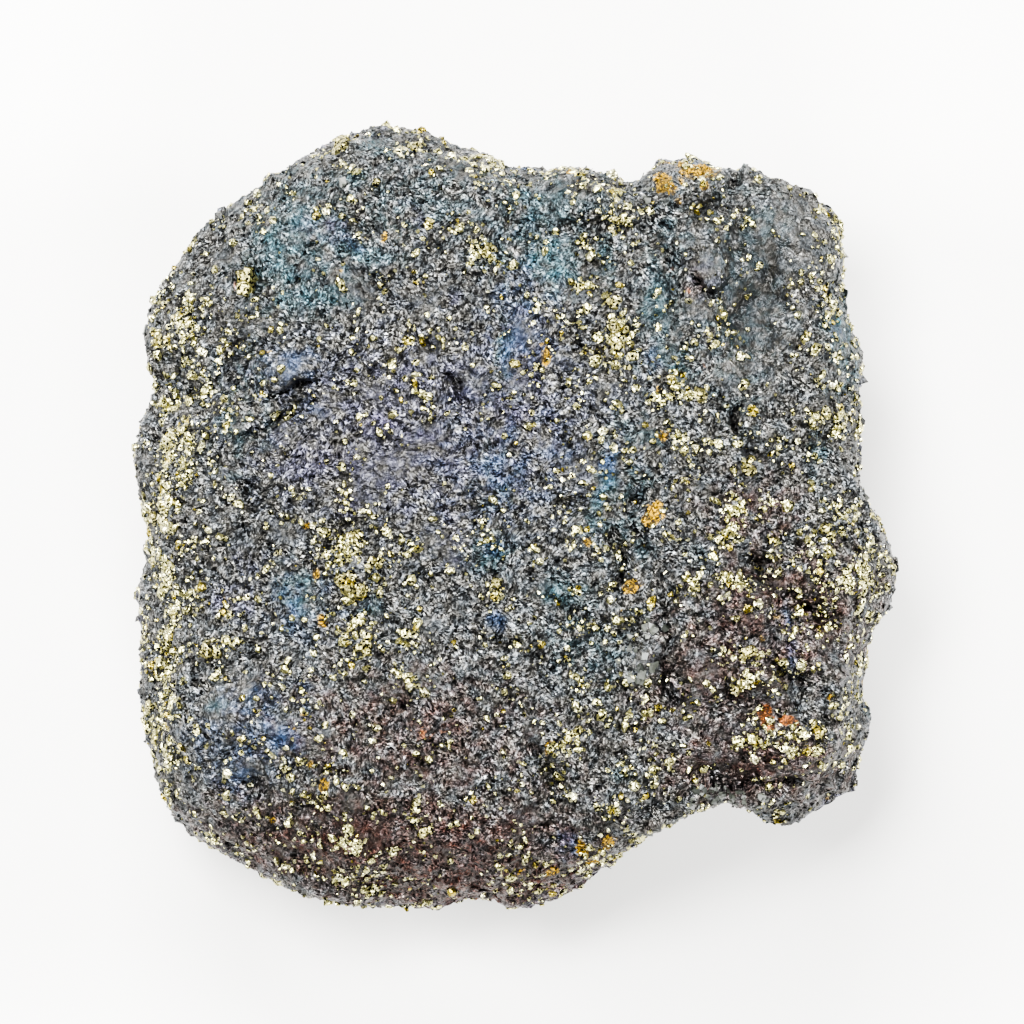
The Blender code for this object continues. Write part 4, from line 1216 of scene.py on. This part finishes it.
@dataclass
class StoneMass:
    """The stone itself: the fine surface thinned to what one piece may have, and its dress.

    kept: triangles that stay.
    face_care: how much more the thinning spares the face than the back.
    """

    form: StoneForm
    weathering: Weathering
    finish: Finish
    name: str = "chalcocite_mass"
    kept: int = 197000
    face_care: float = 0.6

    def thinned(self, skin: StoneSkin) -> bpy.types.Mesh:
        """Thins the fine surface, its back first, and keeps its grid numbers and hollows.

        Args:
            skin: the fine surface.

        Returns:
            A mesh of triangles.
        """
        fine = fill_mesh("fine skin", skin.points + self.form.shift, skin.quads,
                         {"sheet": skin.sheet, "relief": skin.hollow, "painted_shade": skin.painted_shade, "rich": skin.rich})
        carrier = place_object("fine skin", fine)
        group = carrier.vertex_groups.new(name="back first")
        back = np.flatnonzero((skin.sheet[:, 2] > 0.5) | (skin.normals[:, 2] < 0.2))
        group.add(back.tolist(), 1.0, "REPLACE")
        modifier = carrier.modifiers.new("thin", "DECIMATE")
        modifier.ratio = self.kept / (2 * len(skin.quads))
        modifier.vertex_group = group.name
        modifier.vertex_group_factor = self.face_care
        modifier.use_collapse_triangulate = True
        graph = bpy.context.evaluated_depsgraph_get()
        mesh = bpy.data.meshes.new_from_object(carrier.evaluated_get(graph))
        bpy.data.objects.remove(carrier)
        mesh.name = self.name
        return mesh

    def unwrap(self, mesh: bpy.types.Mesh) -> None:
        """Lays the face's grid in the left half of the bake map and the back's in the right.

        Args:
            mesh: the stone's mesh.
        """
        sheet = np.zeros(len(mesh.vertices) * 3, np.float32)
        mesh.attributes["sheet"].data.foreach_get("vector", sheet)
        corners = np.zeros(len(mesh.loops), np.int32)
        mesh.loops.foreach_get("vertex_index", corners)
        grid = sheet.reshape(-1, 3)[corners].reshape(-1, 3, 3)
        side = (grid[:, :, 2].mean(axis=1) > 0.34).astype(float)[:, None]
        place = np.stack([0.25 + 0.24 * grid[:, :, 0] + 0.5 * side, 0.5 + 0.49 * grid[:, :, 1]], axis=-1)
        mesh.uv_layers.new(name=BAKE_MAP).data.foreach_set("uv", place.astype(np.float32).ravel())

    def build(self, skin: StoneSkin) -> bpy.types.Object:
        """Builds and dresses the stone's mass, which stands for the CAD solid.

        Args:
            skin: the fine surface.

        Returns:
            The piece.
        """
        mesh = self.thinned(skin)
        self.unwrap(mesh)
        places = np.zeros(len(mesh.vertices) * 3, np.float32)
        mesh.vertices.foreach_get("co", places)
        points = places.reshape(-1, 3).astype(float) / MM - self.form.shift
        add_attributes(mesh, self.weathering.masks(self.form, points))
        piece = show(mesh, self.finish)
        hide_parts(NODE)
        return piece


class Habit(Enum):
    """The outer form of a small grain: points whose hull is the grain's closed shell."""

    SPLINTER = "splinter"
    PEBBLE = "pebble"
    PYRITOHEDRON = "pyritohedron"

    def points(self, rng: np.random.Generator) -> Array:
        """Corner points of one grain about 2 across.

        A splinter is a cube with each corner moved. A pebble is an icosahedron, whose corners are
        (0, 1, 1.618) and its turns, each pushed in or out. A pyritohedron has a cube's corners
        and twelve more at (0, 0.75, 1.5) and its turns.

        Args:
            rng: the random source.

        Returns:
            Points, three numbers each.
        """
        cube = np.array(list(itertools.product((-1.0, 1.0), repeat=3)))
        if self is Habit.SPLINTER:
            return cube * rng.uniform(0.45, 1.0, (8, 3))
        high, low = (1.0, 1.618) if self is Habit.PEBBLE else (0.75, 1.5)
        ring = np.array([np.roll((0.0, a * high, b * low), turn)
                         for a in (-1, 1) for b in (-1, 1) for turn in range(3)])
        if self is Habit.PEBBLE:
            return ring * rng.uniform(0.45, 0.66, (12, 1))
        return np.concatenate([cube, ring]) * rng.uniform(0.66, 0.74, (20, 1))

    def shell(self, rng: np.random.Generator) -> tuple[Array, Array]:
        """The closed shell of triangles round one set of points.

        Args:
            rng: the random source.

        Returns:
            Corners and triangles, with normals outwards.
        """
        hull = bmesh.new()
        for point in self.points(rng):
            hull.verts.new(point)
        made = bmesh.ops.convex_hull(hull, input=hull.verts[:])
        inside = [item for item in made["geom_interior"] if isinstance(item, bmesh.types.BMVert)]
        bmesh.ops.delete(hull, geom=inside, context="VERTS")
        bmesh.ops.triangulate(hull, faces=hull.faces[:])
        bmesh.ops.recalc_face_normals(hull, faces=hull.faces[:])
        hull.verts.index_update()
        corners = np.array([corner.co[:] for corner in hull.verts])
        triangles = np.array([[corner.index for corner in face.verts] for face in hull.faces])
        hull.free()
        return corners, triangles


@dataclass
class Grains:
    """A joined mesh of many small closed grains that sit in the stone's surface.

    habit: the grains' form. finish: their finish. sizes: smallest, usual and largest half size.
    sink: how deep the middle lies under the surface, in half sizes. flatness: thickness against
    width. lean: how far a grain leans off the surface's normal. ragged: how much longer or
    shorter a grain may be than it is wide. variants: how many different shells are used.
    """

    name: str
    habit: Habit
    finish: Finish
    sizes: tuple[float, float, float]
    sink: tuple[float, float]
    flatness: tuple[float, float]
    lean: float
    seed: int
    ragged: float = 0.25
    variants: int = 24
    size_spread: float = 0.38

    def turned(self, normals: Array, rng: np.random.Generator) -> Array:
        """One frame of three axes for each grain, the last near the surface's normal.

        Args:
            normals: the surface's normal at each grain.
            rng: the random source.

        Returns:
            A three by three turn for each grain.
        """
        up = normals + self.lean * rng.normal(size=normals.shape)
        up /= np.linalg.norm(up, axis=1)[:, None]
        side = np.cross(up, rng.normal(size=normals.shape))
        side /= np.linalg.norm(side, axis=1)[:, None]
        return np.stack([side, np.cross(up, side), up], axis=1)

    def build(self, form: StoneForm, weathering: Weathering, places: Array, normals: Array,
              scale: Optional[Array] = None) -> bpy.types.Object:
        """Builds every grain at its place and dresses the whole.

        Args:
            form: the stone's form, for the shift.
            weathering: gives the stains' masks at each grain.
            places: a surface point for each grain.
            normals: the surface's normal there.
            scale: half size of each grain, drawn from the range if it is left out.

        Returns:
            The piece.
        """
        rng = np.random.default_rng(self.seed)
        count = len(places)
        low, usual, high = self.sizes
        if scale is None:
            scale = np.clip(usual * np.exp(self.size_spread * rng.normal(size=count)), low, high)
        stretch = np.exp(self.ragged * rng.uniform(-1.0, 1.0, (count, 3))) * scale[:, None]
        stretch[:, 2] *= rng.uniform(*self.flatness, count)
        frames = self.turned(normals, rng)
        centres = places - normals * (stretch[:, 2] * rng.uniform(*self.sink, count))[:, None]
        kind = rng.integers(0, self.variants, count)
        points, faces, owners, start = [], [], [], 0
        for variant in range(self.variants):
            corners, triangles = self.habit.shell(rng)
            mine = np.flatnonzero(kind == variant)
            local = corners[None] * stretch[mine][:, None]
            turned = np.einsum("nkj,nji->nki", local, frames[mine]) + centres[mine][:, None]
            points.append(turned.reshape(-1, 3))
            first = start + np.arange(len(mine)) * len(corners)
            faces.append((triangles[None] + first[:, None, None]).reshape(-1, 3))
            owners.append(np.repeat(mine, len(corners)))
            start += len(mine) * len(corners)
        points, faces, owner = np.concatenate(points), np.concatenate(faces), np.concatenate(owners)
        points[:, 2] = np.maximum(points[:, 2], 0.02)
        attributes = {title: values[owner] for title, values in weathering.masks(form, places).items()}
        attributes.update(shade=rng.random(count)[owner], relief=np.zeros(len(points)))
        mesh = fill_mesh(self.name, points + form.shift, faces, attributes)
        self.unwrap(mesh)
        return show(mesh, self.finish)

    @staticmethod
    def unwrap(mesh: bpy.types.Mesh) -> None:
        """Gives each pair of triangles its own small square of the bake map.

        Args:
            mesh: the grains' mesh.
        """
        number = np.arange(len(mesh.polygons))
        side = math.ceil(math.sqrt((len(number) + 1) // 2))
        base = np.stack([(number // 2) % side, (number // 2) // side], axis=1)[:, None]
        lower = np.array([(0.06, 0.06), (0.82, 0.06), (0.06, 0.82)])
        place = (base + np.where((number % 2)[:, None, None] == 0, lower, 1.0 - lower)) / side
        mesh.uv_layers.new(name=BAKE_MAP).data.foreach_set("uv", place.astype(np.float32).ravel())


@dataclass
class SplinterSpread:
    """Where splinters of the break lie: mostly on the face, and few where the break is smooth."""

    count: int = 13000
    back_share: float = 0.35
    smooth_calm: float = 0.92

    def density(self, skin: StoneSkin, smooth_patches: Sequence[Patch]) -> Array:
        """How thickly splinters lie at each corner of the surface.

        Args:
            skin: the fine surface.
            smooth_patches: where the break is smooth.

        Returns:
            A weight for each corner.
        """
        facing = np.clip(skin.normals[:, 2] * 2.0 + 0.8, 0.0, 1.0)
        smooth = strongest(skin.points[:, 0], skin.points[:, 1], smooth_patches)
        weight = self.back_share + (1.0 - self.back_share) * facing
        return (skin.points[:, 2] > STANDING) * weight * (1.0 - self.smooth_calm * smooth)


@dataclass
class PyriteSpread:
    """Where pyrite lies: rich and bare patches on the face, and named large crystals.

    A named row is place, spread along and across, turn, half size and count. dust is the share of
    cells of the break that are pyrite, for each unit of density, and painted_shade how dark the shade
    painted into the gaps round the grains is. The density's other numbers are sizes of clumps, and gains.
    """

    rich: Sequence[Patch] = (
        (-22.6, 26.6, 4, 1.2, 42, 1.6), (-27, 18, 1.3, 3.5, -8, 2.2), (-29.6, 15, 1.7, 1.3, 0, 3.4),
        (-25.7, 12.4, 2.2, 1.9, 0, 1.8), (-28.7, 7.5, 2.9, 3.5, 0, 1.7), (-29.7, 0.5, 2, 2.2, 0, 2.8),
        (-26.7, 1.6, 2.2, 4.2, 0, 1.6), (-29.7, -6.7, 2.5, 3.5, 0, 1.7), (-25.8, -8.9, 1, 2.9, 0, 1.7),
        (-27.7, -17.6, 2.2, 3.4, -20, 1.6), (-8.3, 30.6, 2.9, 1.2, 25, 1.5), (-2.1, 30, 1.9, 1, 0, 1.2),
        (-15.8, 28, 2.2, 1.3, 0, 1), (-1.9, 22.5, 1.7, 1.7, 0, 2.4), (-3.8, 20.5, 1.7, 2.2, 0, 1.2),
        (5.3, 28.5, 1.2, 1, 0, 1.5), (13.1, 27.3, 3.4, 2.2, 0, 1.6), (8.4, 26.4, 1.2, 2.9, 0, 2),
        (5.8, 21.4, 1.7, 1.7, 0, 2.2), (6.1, 17.8, 1.7, 1.7, 0, 1.9), (8.7, 14.7, 1.9, 5.2, -3, 3.2),
        (7.7, 8.8, 2.4, 1.5, 0, 1.2), (-7.5, 13.2, 1.5, 2.9, 20, 1.3), (2.7, 13.6, 1.2, 1.5, 0, 1.6),
        (13.7, 10.4, 3, 1.7, 0, 1.6), (13.6, 5.8, 1.7, 2.9, 8, 2.2), (19.6, 6.7, 1.3, 3.7, 0, 1.5),
        (26.4, 22.2, 1.5, 3.5, -10, 2), (25, 16.9, 1.5, 1.7, 0, 1.8), (26.5, 9.6, 2.7, 2.5, 0, 1.5),
        (28.4, 0.6, 1.9, 1.7, 0, 2), (26, -1.3, 1.9, 1.5, 0, 2.6), (29.7, -3.5, 2, 3.4, -25, 2.2),
        (23.3, -3.9, 2.9, 1.9, 0, 1.6), (26, -10.2, 3.9, 3.9, 0, 1.2), (24.6, -15.7, 2.9, 3.4, 0, 1.9),
        (21.2, -18.4, 2.9, 1.3, 0, 1.8), (18.3, -2.2, 1.3, 3.4, 0, 2.2), (15.9, -5.7, 2.2, 1.3, 0, 2.8),
        (19.3, -10.2, 2.2, 3.7, 10, 2.3), (-13.6, 3.3, 1, 4, -38, 1.5), (-7.2, 5.8, 1.2, 2.2, 0, 1.3),
        (-12.7, -3.6, 2.2, 3.5, 10, 3.4), (-9.1, -3, 2.2, 1, 35, 2.6), (-12.2, -10.2, 2.9, 2.5, -20, 2.8),
        (-9.1, -12.5, 1.9, 3.4, -20, 1.6), (5.2, -3, 1.3, 2.9, -12, 1.6), (-1.1, -6, 1.3, 1.3, 0, 1.3),
        (4.4, -9.9, 2.4, 1.3, 0, 1.6), (5.9, -14.2, 1.5, 1.5, 0, 1.6), (4.5, -18.2, 2.2, 1.3, 30, 2.4),
        (10.7, -17.1, 1.2, 3.2, 40, 1.5), (10, -22, 3.7, 1.9, 50, 2), (6.5, -27.9, 1.9, 1.9, 0, 2.4),
        (-14.1, -18.6, 4, 4.2, 0, 1.1), (-15.8, -16.6, 1.5, 1.3, 0, 1.6), (-10.4, -19.3, 2.2, 1, 10, 1.5),
        (-7.7, -24.5, 1.2, 2.9, 0, 1.9), (-14.1, -29.2, 3.7, 1.9, -20, 1.7), (1.4, -29.6, 2.2, 1.2, 0, 1.4),
        (-12.9, -25.3, 7.6, 3.4, 0, 0.8), (-28.6, 6, 2.6, 13, 0, 2.1), (-29, -12.5, 2.2, 9, 0, 2),
        (-27.3, 19, 2.2, 6, -30, 2.2))
    bare: Sequence[Patch] = (
        (-18.6, 21.1, 4.4, 5.6, 0, 0.7), (-18.6, 12.4, 2.9, 1.7, 0, 0.75), (19.3, 19.7, 3.4, 7.4, 0, 0.7),
        (2.3, 25.2, 3.5, 2.5, 0, 0.55), (-1.1, 5, 5.2, 5.9, 0, 0.5), (-23.4, -18.6, 3.4, 5.4, 0, 0.6),
        (-18.8, -17.6, 2.9, 1.9, 0, 0.8), (-15.4, 23.5, 5.9, 3.4, 0, 0.5), (10.9, -12, 2.2, 2, 0, 0.8),
        (16.3, 20.8, 2.5, 1.9, 0, 0.7))
    cubes: int = 7000
    pebbles: int = 6000
    common: float = 0.65
    rich_gain: float = 0.95
    back_gain: float = 2.2
    back_mm: float = 7.0
    broad_mm: float = 3.5
    clump_mm: float = 1.5
    clump_gain: float = 1.7
    edge_mm: float = 4.0
    dust: float = 0.055
    dust_most: float = 0.5
    painted_shade: float = 0.9
    named: Mapping[str, tuple] = table({
        "upper left corner": (-14.1, 31.2, 0.3, 0.2, 20, 0.75, 4),
        "oval in its pocket": (-22.1, 19.7, 0.25, 0.5, 0, 0.95, 5),
        "swelling": (-13.2, -5.4, 0.9, 0.9, 0, 0.62, 8),
        "swelling, top": (-12.9, -1.8, 0.5, 0.5, 0, 0.5, 4),
        "swelling, right": (-11.6, -3.7, 0.7, 0.4, 20, 0.45, 5),
        "long crystal": (-1.5, -5.8, 0.25, 0.8, -30, 0.42, 3),
        "lower middle": (-7, -25.8, 0.4, 0.4, 0, 0.5, 2),
        "column, upper": (8.3, 17.8, 0.5, 0.5, 0, 0.48, 3), "column": (8.5, 14.2, 0.8, 1.5, 0, 0.42, 8),
        "bright grain": (15.4, 10.2, 0.5, 0.5, 0, 0.58, 3),
        "right grains, upper": (19.6, 9.2, 0.4, 0.4, 0, 0.46, 2),
        "right grains, lower": (19.8, 4.5, 0.5, 0.5, 0, 0.48, 3),
        "band by the lobe": (19.3, -11, 0.7, 0.7, 0, 0.5, 6),
        "band by the lobe, foot": (18.6, -14, 0.4, 0.4, 0, 0.44, 3),
        "left bevel, foot": (-25.3, -11, 0.8, 0.6, 30, 0.46, 5),
        "left edge": (-31, -15.7, 0.3, 0.3, 0, 0.42, 2), "upper left": (-10.9, 19.1, 0.4, 0.3, 0, 0.36, 2),
        "top left": (-11, 27.8, 0.4, 0.3, 0, 0.4, 2), "top": (-8.1, 31.1, 0.5, 0.3, 20, 0.42, 3),
        "left point": (-29.6, 15, 0.9, 0.8, 0, 0.42, 7), "left knot": (-29.8, 0.4, 0.8, 0.9, 0, 0.42, 6),
        "under the swelling": (-12, -10.4, 0.9, 0.8, 0, 0.44, 6),
        "lower centre": (5.1, -17.7, 0.6, 0.5, 0, 0.44, 4), "lobe, top": (26, -1.2, 0.6, 0.5, 0, 0.46, 4),
        "lobe knot": (25.1, -17.4, 0.8, 0.5, 0, 0.44, 5),
        "under the knob": (8.5, 24.4, 0.5, 0.7, 0, 0.42, 4), "elongated": (9.7, 13, 0.3, 0.7, -10, 0.4, 3),
        "upper middle": (-1.9, 22.3, 0.6, 0.5, 0, 0.42, 4)})

    def density(self, form: StoneForm, skin: StoneSkin) -> Array:
        """How thickly pyrite lies at each corner of the surface.

        Patches add to a common level and bare plates take from it, and noise gathers the grains
        into clumps. The back has wide patches of noise.

        Args:
            form: the stone's form.
            skin: the fine surface.

        Returns:
            A weight for each corner.
        """
        x, y, z = skin.points.T
        rich = self.common + self.rich_gain * sum(patch_height(x, y, patch) for patch in self.rich)
        rich *= 1.0 - strongest(x, y, self.bare)
        turns = np.degrees(np.arctan2(y, x))
        on_face = np.clip((z - form.rim_height(turns) + self.edge_mm) / self.edge_mm, 0.0, 1.0)
        wide, fine, broad = (NOISE.swell(skin.points, size, channel) for channel, size in
                             enumerate((self.back_mm, self.clump_mm, self.broad_mm), 301))
        back = self.common + self.back_gain * np.clip(wide, 0.0, 1.0)
        clump = np.clip(0.60 + self.clump_gain * fine, 0.04, 2.4) * np.clip(0.9 + 0.8 * broad, 0.3, 2.0)
        return (on_face * rich + (1.0 - on_face) * back) * clump * (z > STANDING)

    def crystals(self, skin: StoneSkin, rng: np.random.Generator) -> tuple:
        """Places, normals and half sizes of the named crystals.

        Args:
            skin: the fine surface.
            rng: the random source.

        Returns:
            Three arrays.
        """
        return skin.gather(self.named, partial(rng.uniform, -1.0, 1.0), 0.7, 1.1, rng)


@dataclass
class QuartzSpread:
    """Where quartz shows: place, spread along and across, turn, half size and count of grains."""

    named: Mapping[str, tuple] = table({
        "lower bay": (16.9, -22.7, 1.8, 0.6, -10, 0.3, 26),
        "lower bay, right": (19, -23.2, 1.8, 0.5, 0, 0.32, 28),
        "lower bay, left": (14.9, -24, 1.2, 0.5, 30, 0.28, 16),
        "lobe's foot": (20.4, -24, 0.8, 0.5, 0, 0.26, 10),
        "grey patch, big crystals": (10.7, -12.8, 1.4, 0.8, 30, 0.46, 9),
        "grey patch, upper": (11.7, -9.2, 1.1, 0.8, -20, 0.42, 6),
        "grey patch": (9.9, -10.8, 1.8, 1.6, 30, 0.34, 12),
        "thin white crystal": (11, 26.8, 0.3, 0.6, 25, 0.26, 6),
        "white speck, upper left": (-14.3, 27.9, 0.2, 0.2, 0, 0.34, 2)})
    back_count: int = 130

    def grains(self, skin: StoneSkin, rng: np.random.Generator) -> tuple:
        """Places, normals and half sizes of the quartz grains, with a few more on the back.

        Args:
            skin: the fine surface.
            rng: the random source.

        Returns:
            Three arrays.
        """
        gathered = skin.gather(self.named, partial(rng.normal, 0.0, 0.6), 0.6, 1.2, rng)
        low = (skin.points[:, 2] > 1.2) & (skin.normals[:, 2] < 0.1)
        clumps = low * np.clip(3.0 * NOISE.swell(skin.points, 3.0, 401) - 1.3, 0.0, 1.0)
        places, normals, _ = skin.scatter(self.back_count, clumps, rng)
        more = (places, normals, rng.uniform(0.25, 0.5, self.back_count))
        return tuple(np.concatenate(pair) for pair in zip(gathered, more))


@dataclass
class Studio:
    """A pale floor, soft lamps and the camera, square on to the face.

    lamps: place, width and height of the panel, power in watts. The camera's frame is frame_mm
    wide on the level scale_mm, and middle is the picture's middle on the stone.
    """

    frame_mm: float = 86.2
    scale_mm: float = 17.0
    middle: tuple[float, float] = (-0.0842, 0.5894)
    lens: float = 200.0
    sensor: float = 36.0
    floor_mm: float = 4000.0
    aim_mm: float = 15.0
    look: str = "AgX - High Contrast"
    world_colour: str = "#b9bcc2"
    world_strength: float = 0.17
    lamps: Mapping[str, tuple] = table({
        "back softbox": ((-60, 330, 300), 220, 100, 3.8), "left softbox": ((-330, 60, 190), 120, 120, 2.4),
        "right softbox": ((330, 60, 170), 120, 120, 2.5), "front softbox": ((30, -320, 260), 160, 100, 1.9),
        "overhead panel": ((-90, 100, 420), 140, 100, 3)})

    def floor(self) -> None:
        """Lays the floor at z = 0."""
        half = self.floor_mm / 2.0
        corners = np.array([(-half, -half, 0.0), (half, -half, 0.0), (half, half, 0.0), (-half, half, 0.0)])
        mesh = fill_mesh("floor", corners, np.array([[0, 1, 2, 3]]))
        mesh.materials.append(Card().make())
        place_object("floor", mesh)

    def light(self) -> None:
        """Sets the lamps, each aimed at the stone, and an even soft surround."""
        world = bpy.data.worlds.new("soft surround")
        world.use_nodes = True
        background = world.node_tree.nodes["Background"]
        background.inputs["Color"].default_value = linear(self.world_colour)
        background.inputs["Strength"].default_value = self.world_strength
        bpy.context.scene.world = world
        bpy.context.scene.view_settings.look = self.look
        for name, (place, width, height, power) in self.lamps.items():
            lamp = bpy.data.lights.new(name, "AREA")
            lamp.shape, lamp.size, lamp.size_y = "RECTANGLE", width * MM, height * MM
            lamp.energy = power
            holder = place_object(name, lamp)
            holder.location = Vector(place) * MM
            aim = Vector((0.0, 0.0, self.aim_mm)) - Vector(place)
            holder.rotation_euler = aim.to_track_quat("-Z", "Y").to_euler()

    def camera(self, shift: Array) -> None:
        """Hangs the camera straight over the stone, the face's upper edge at the top.

        Args:
            shift: how far the stone was moved to sit over the CAD solid.
        """
        data = bpy.data.cameras.new("camera")
        data.lens, data.sensor_width = self.lens, self.sensor
        data.clip_start, data.clip_end = 0.01, 20.0
        camera = place_object("camera", data)
        height = self.scale_mm + self.frame_mm * self.lens / self.sensor
        camera.location = Vector((self.middle[0] + shift[0], self.middle[1] + shift[1], height)) * MM
        bpy.context.scene.camera = camera


def main() -> None:
    """Builds the stone, its grains and the studio, in that order, and notes the sizes."""
    logging.basicConfig(level=logging.INFO, format="%(message)s")
    form, weathering, pyrite = StoneForm(), Weathering(), PyriteSpread()
    skin = form.skin(weathering.smooth)
    log.info("skin: %d corners, %d squares", len(skin.points), len(skin.quads))
    rng = np.random.default_rng(2024)
    density = pyrite.density(form, skin)
    skin.rich = np.clip(pyrite.dust * density, 0.0, pyrite.dust_most)
    cubes, pebbles = (skin.scatter(count, density, rng) for count in (pyrite.cubes, pyrite.pebbles))
    spread = SplinterSpread()
    splinters = skin.scatter(spread.count, spread.density(skin, weathering.smooth), rng)
    # Paint shade into the gap round each pyrite grain, where it meets the stone
    skin.paint_shade(np.concatenate([cubes[2], pebbles[2]]), pyrite.painted_shade)
    StoneMass(form, weathering, Chalcocite()).build(skin)

    fresh = Chalcocite("chalcocite splinters", lean=0.35, shade_share=0.15)
    etched = Pyrite("pyrite crystals, etched faces", roughness=0.40, lean=1.1, cracked=0.455,
                    brass="#a8a270", pale="#c8c296")
    for grains, places in (
            (Grains("chalcocite_splinters", Habit.SPLINTER, fresh, sizes=(0.1, 0.19, 0.45), sink=(0.0, 0.9),
                    flatness=(0.12, 0.40), lean=0.32, seed=51, ragged=0.55), splinters[:2]),
            (Grains("pyrite_cubes", Habit.SPLINTER, Pyrite(), sizes=(0.07, 0.135, 0.30), sink=(-0.1, 0.5),
                    flatness=(0.7, 1.0), lean=0.6, seed=60), cubes[:2]),
            (Grains("pyrite_grains", Habit.PEBBLE, Pyrite(), sizes=(0.15, 0.25, 0.50), sink=(-0.1, 0.4),
                    flatness=(0.6, 0.95), lean=0.5, seed=61), pebbles[:2]),
            (Grains("pyrite_crystals", Habit.PYRITOHEDRON, etched, sizes=(0.1, 0.5, 1.0), sink=(-0.1, 0.5),
                    flatness=(0.6, 1.0), lean=0.8, seed=62), pyrite.crystals(skin, rng)),
            (Grains("quartz_grains", Habit.SPLINTER, Quartz(), sizes=(0.1, 0.4, 1.0), sink=(0.2, 0.7),
                    flatness=(0.4, 0.8), lean=0.3, seed=63), QuartzSpread().grains(skin, rng))):
        grains.build(form, weathering, *places)

    studio = Studio()
    studio.floor()
    studio.light()
    studio.camera(form.shift)


if __name__ == "__main__":
    main()
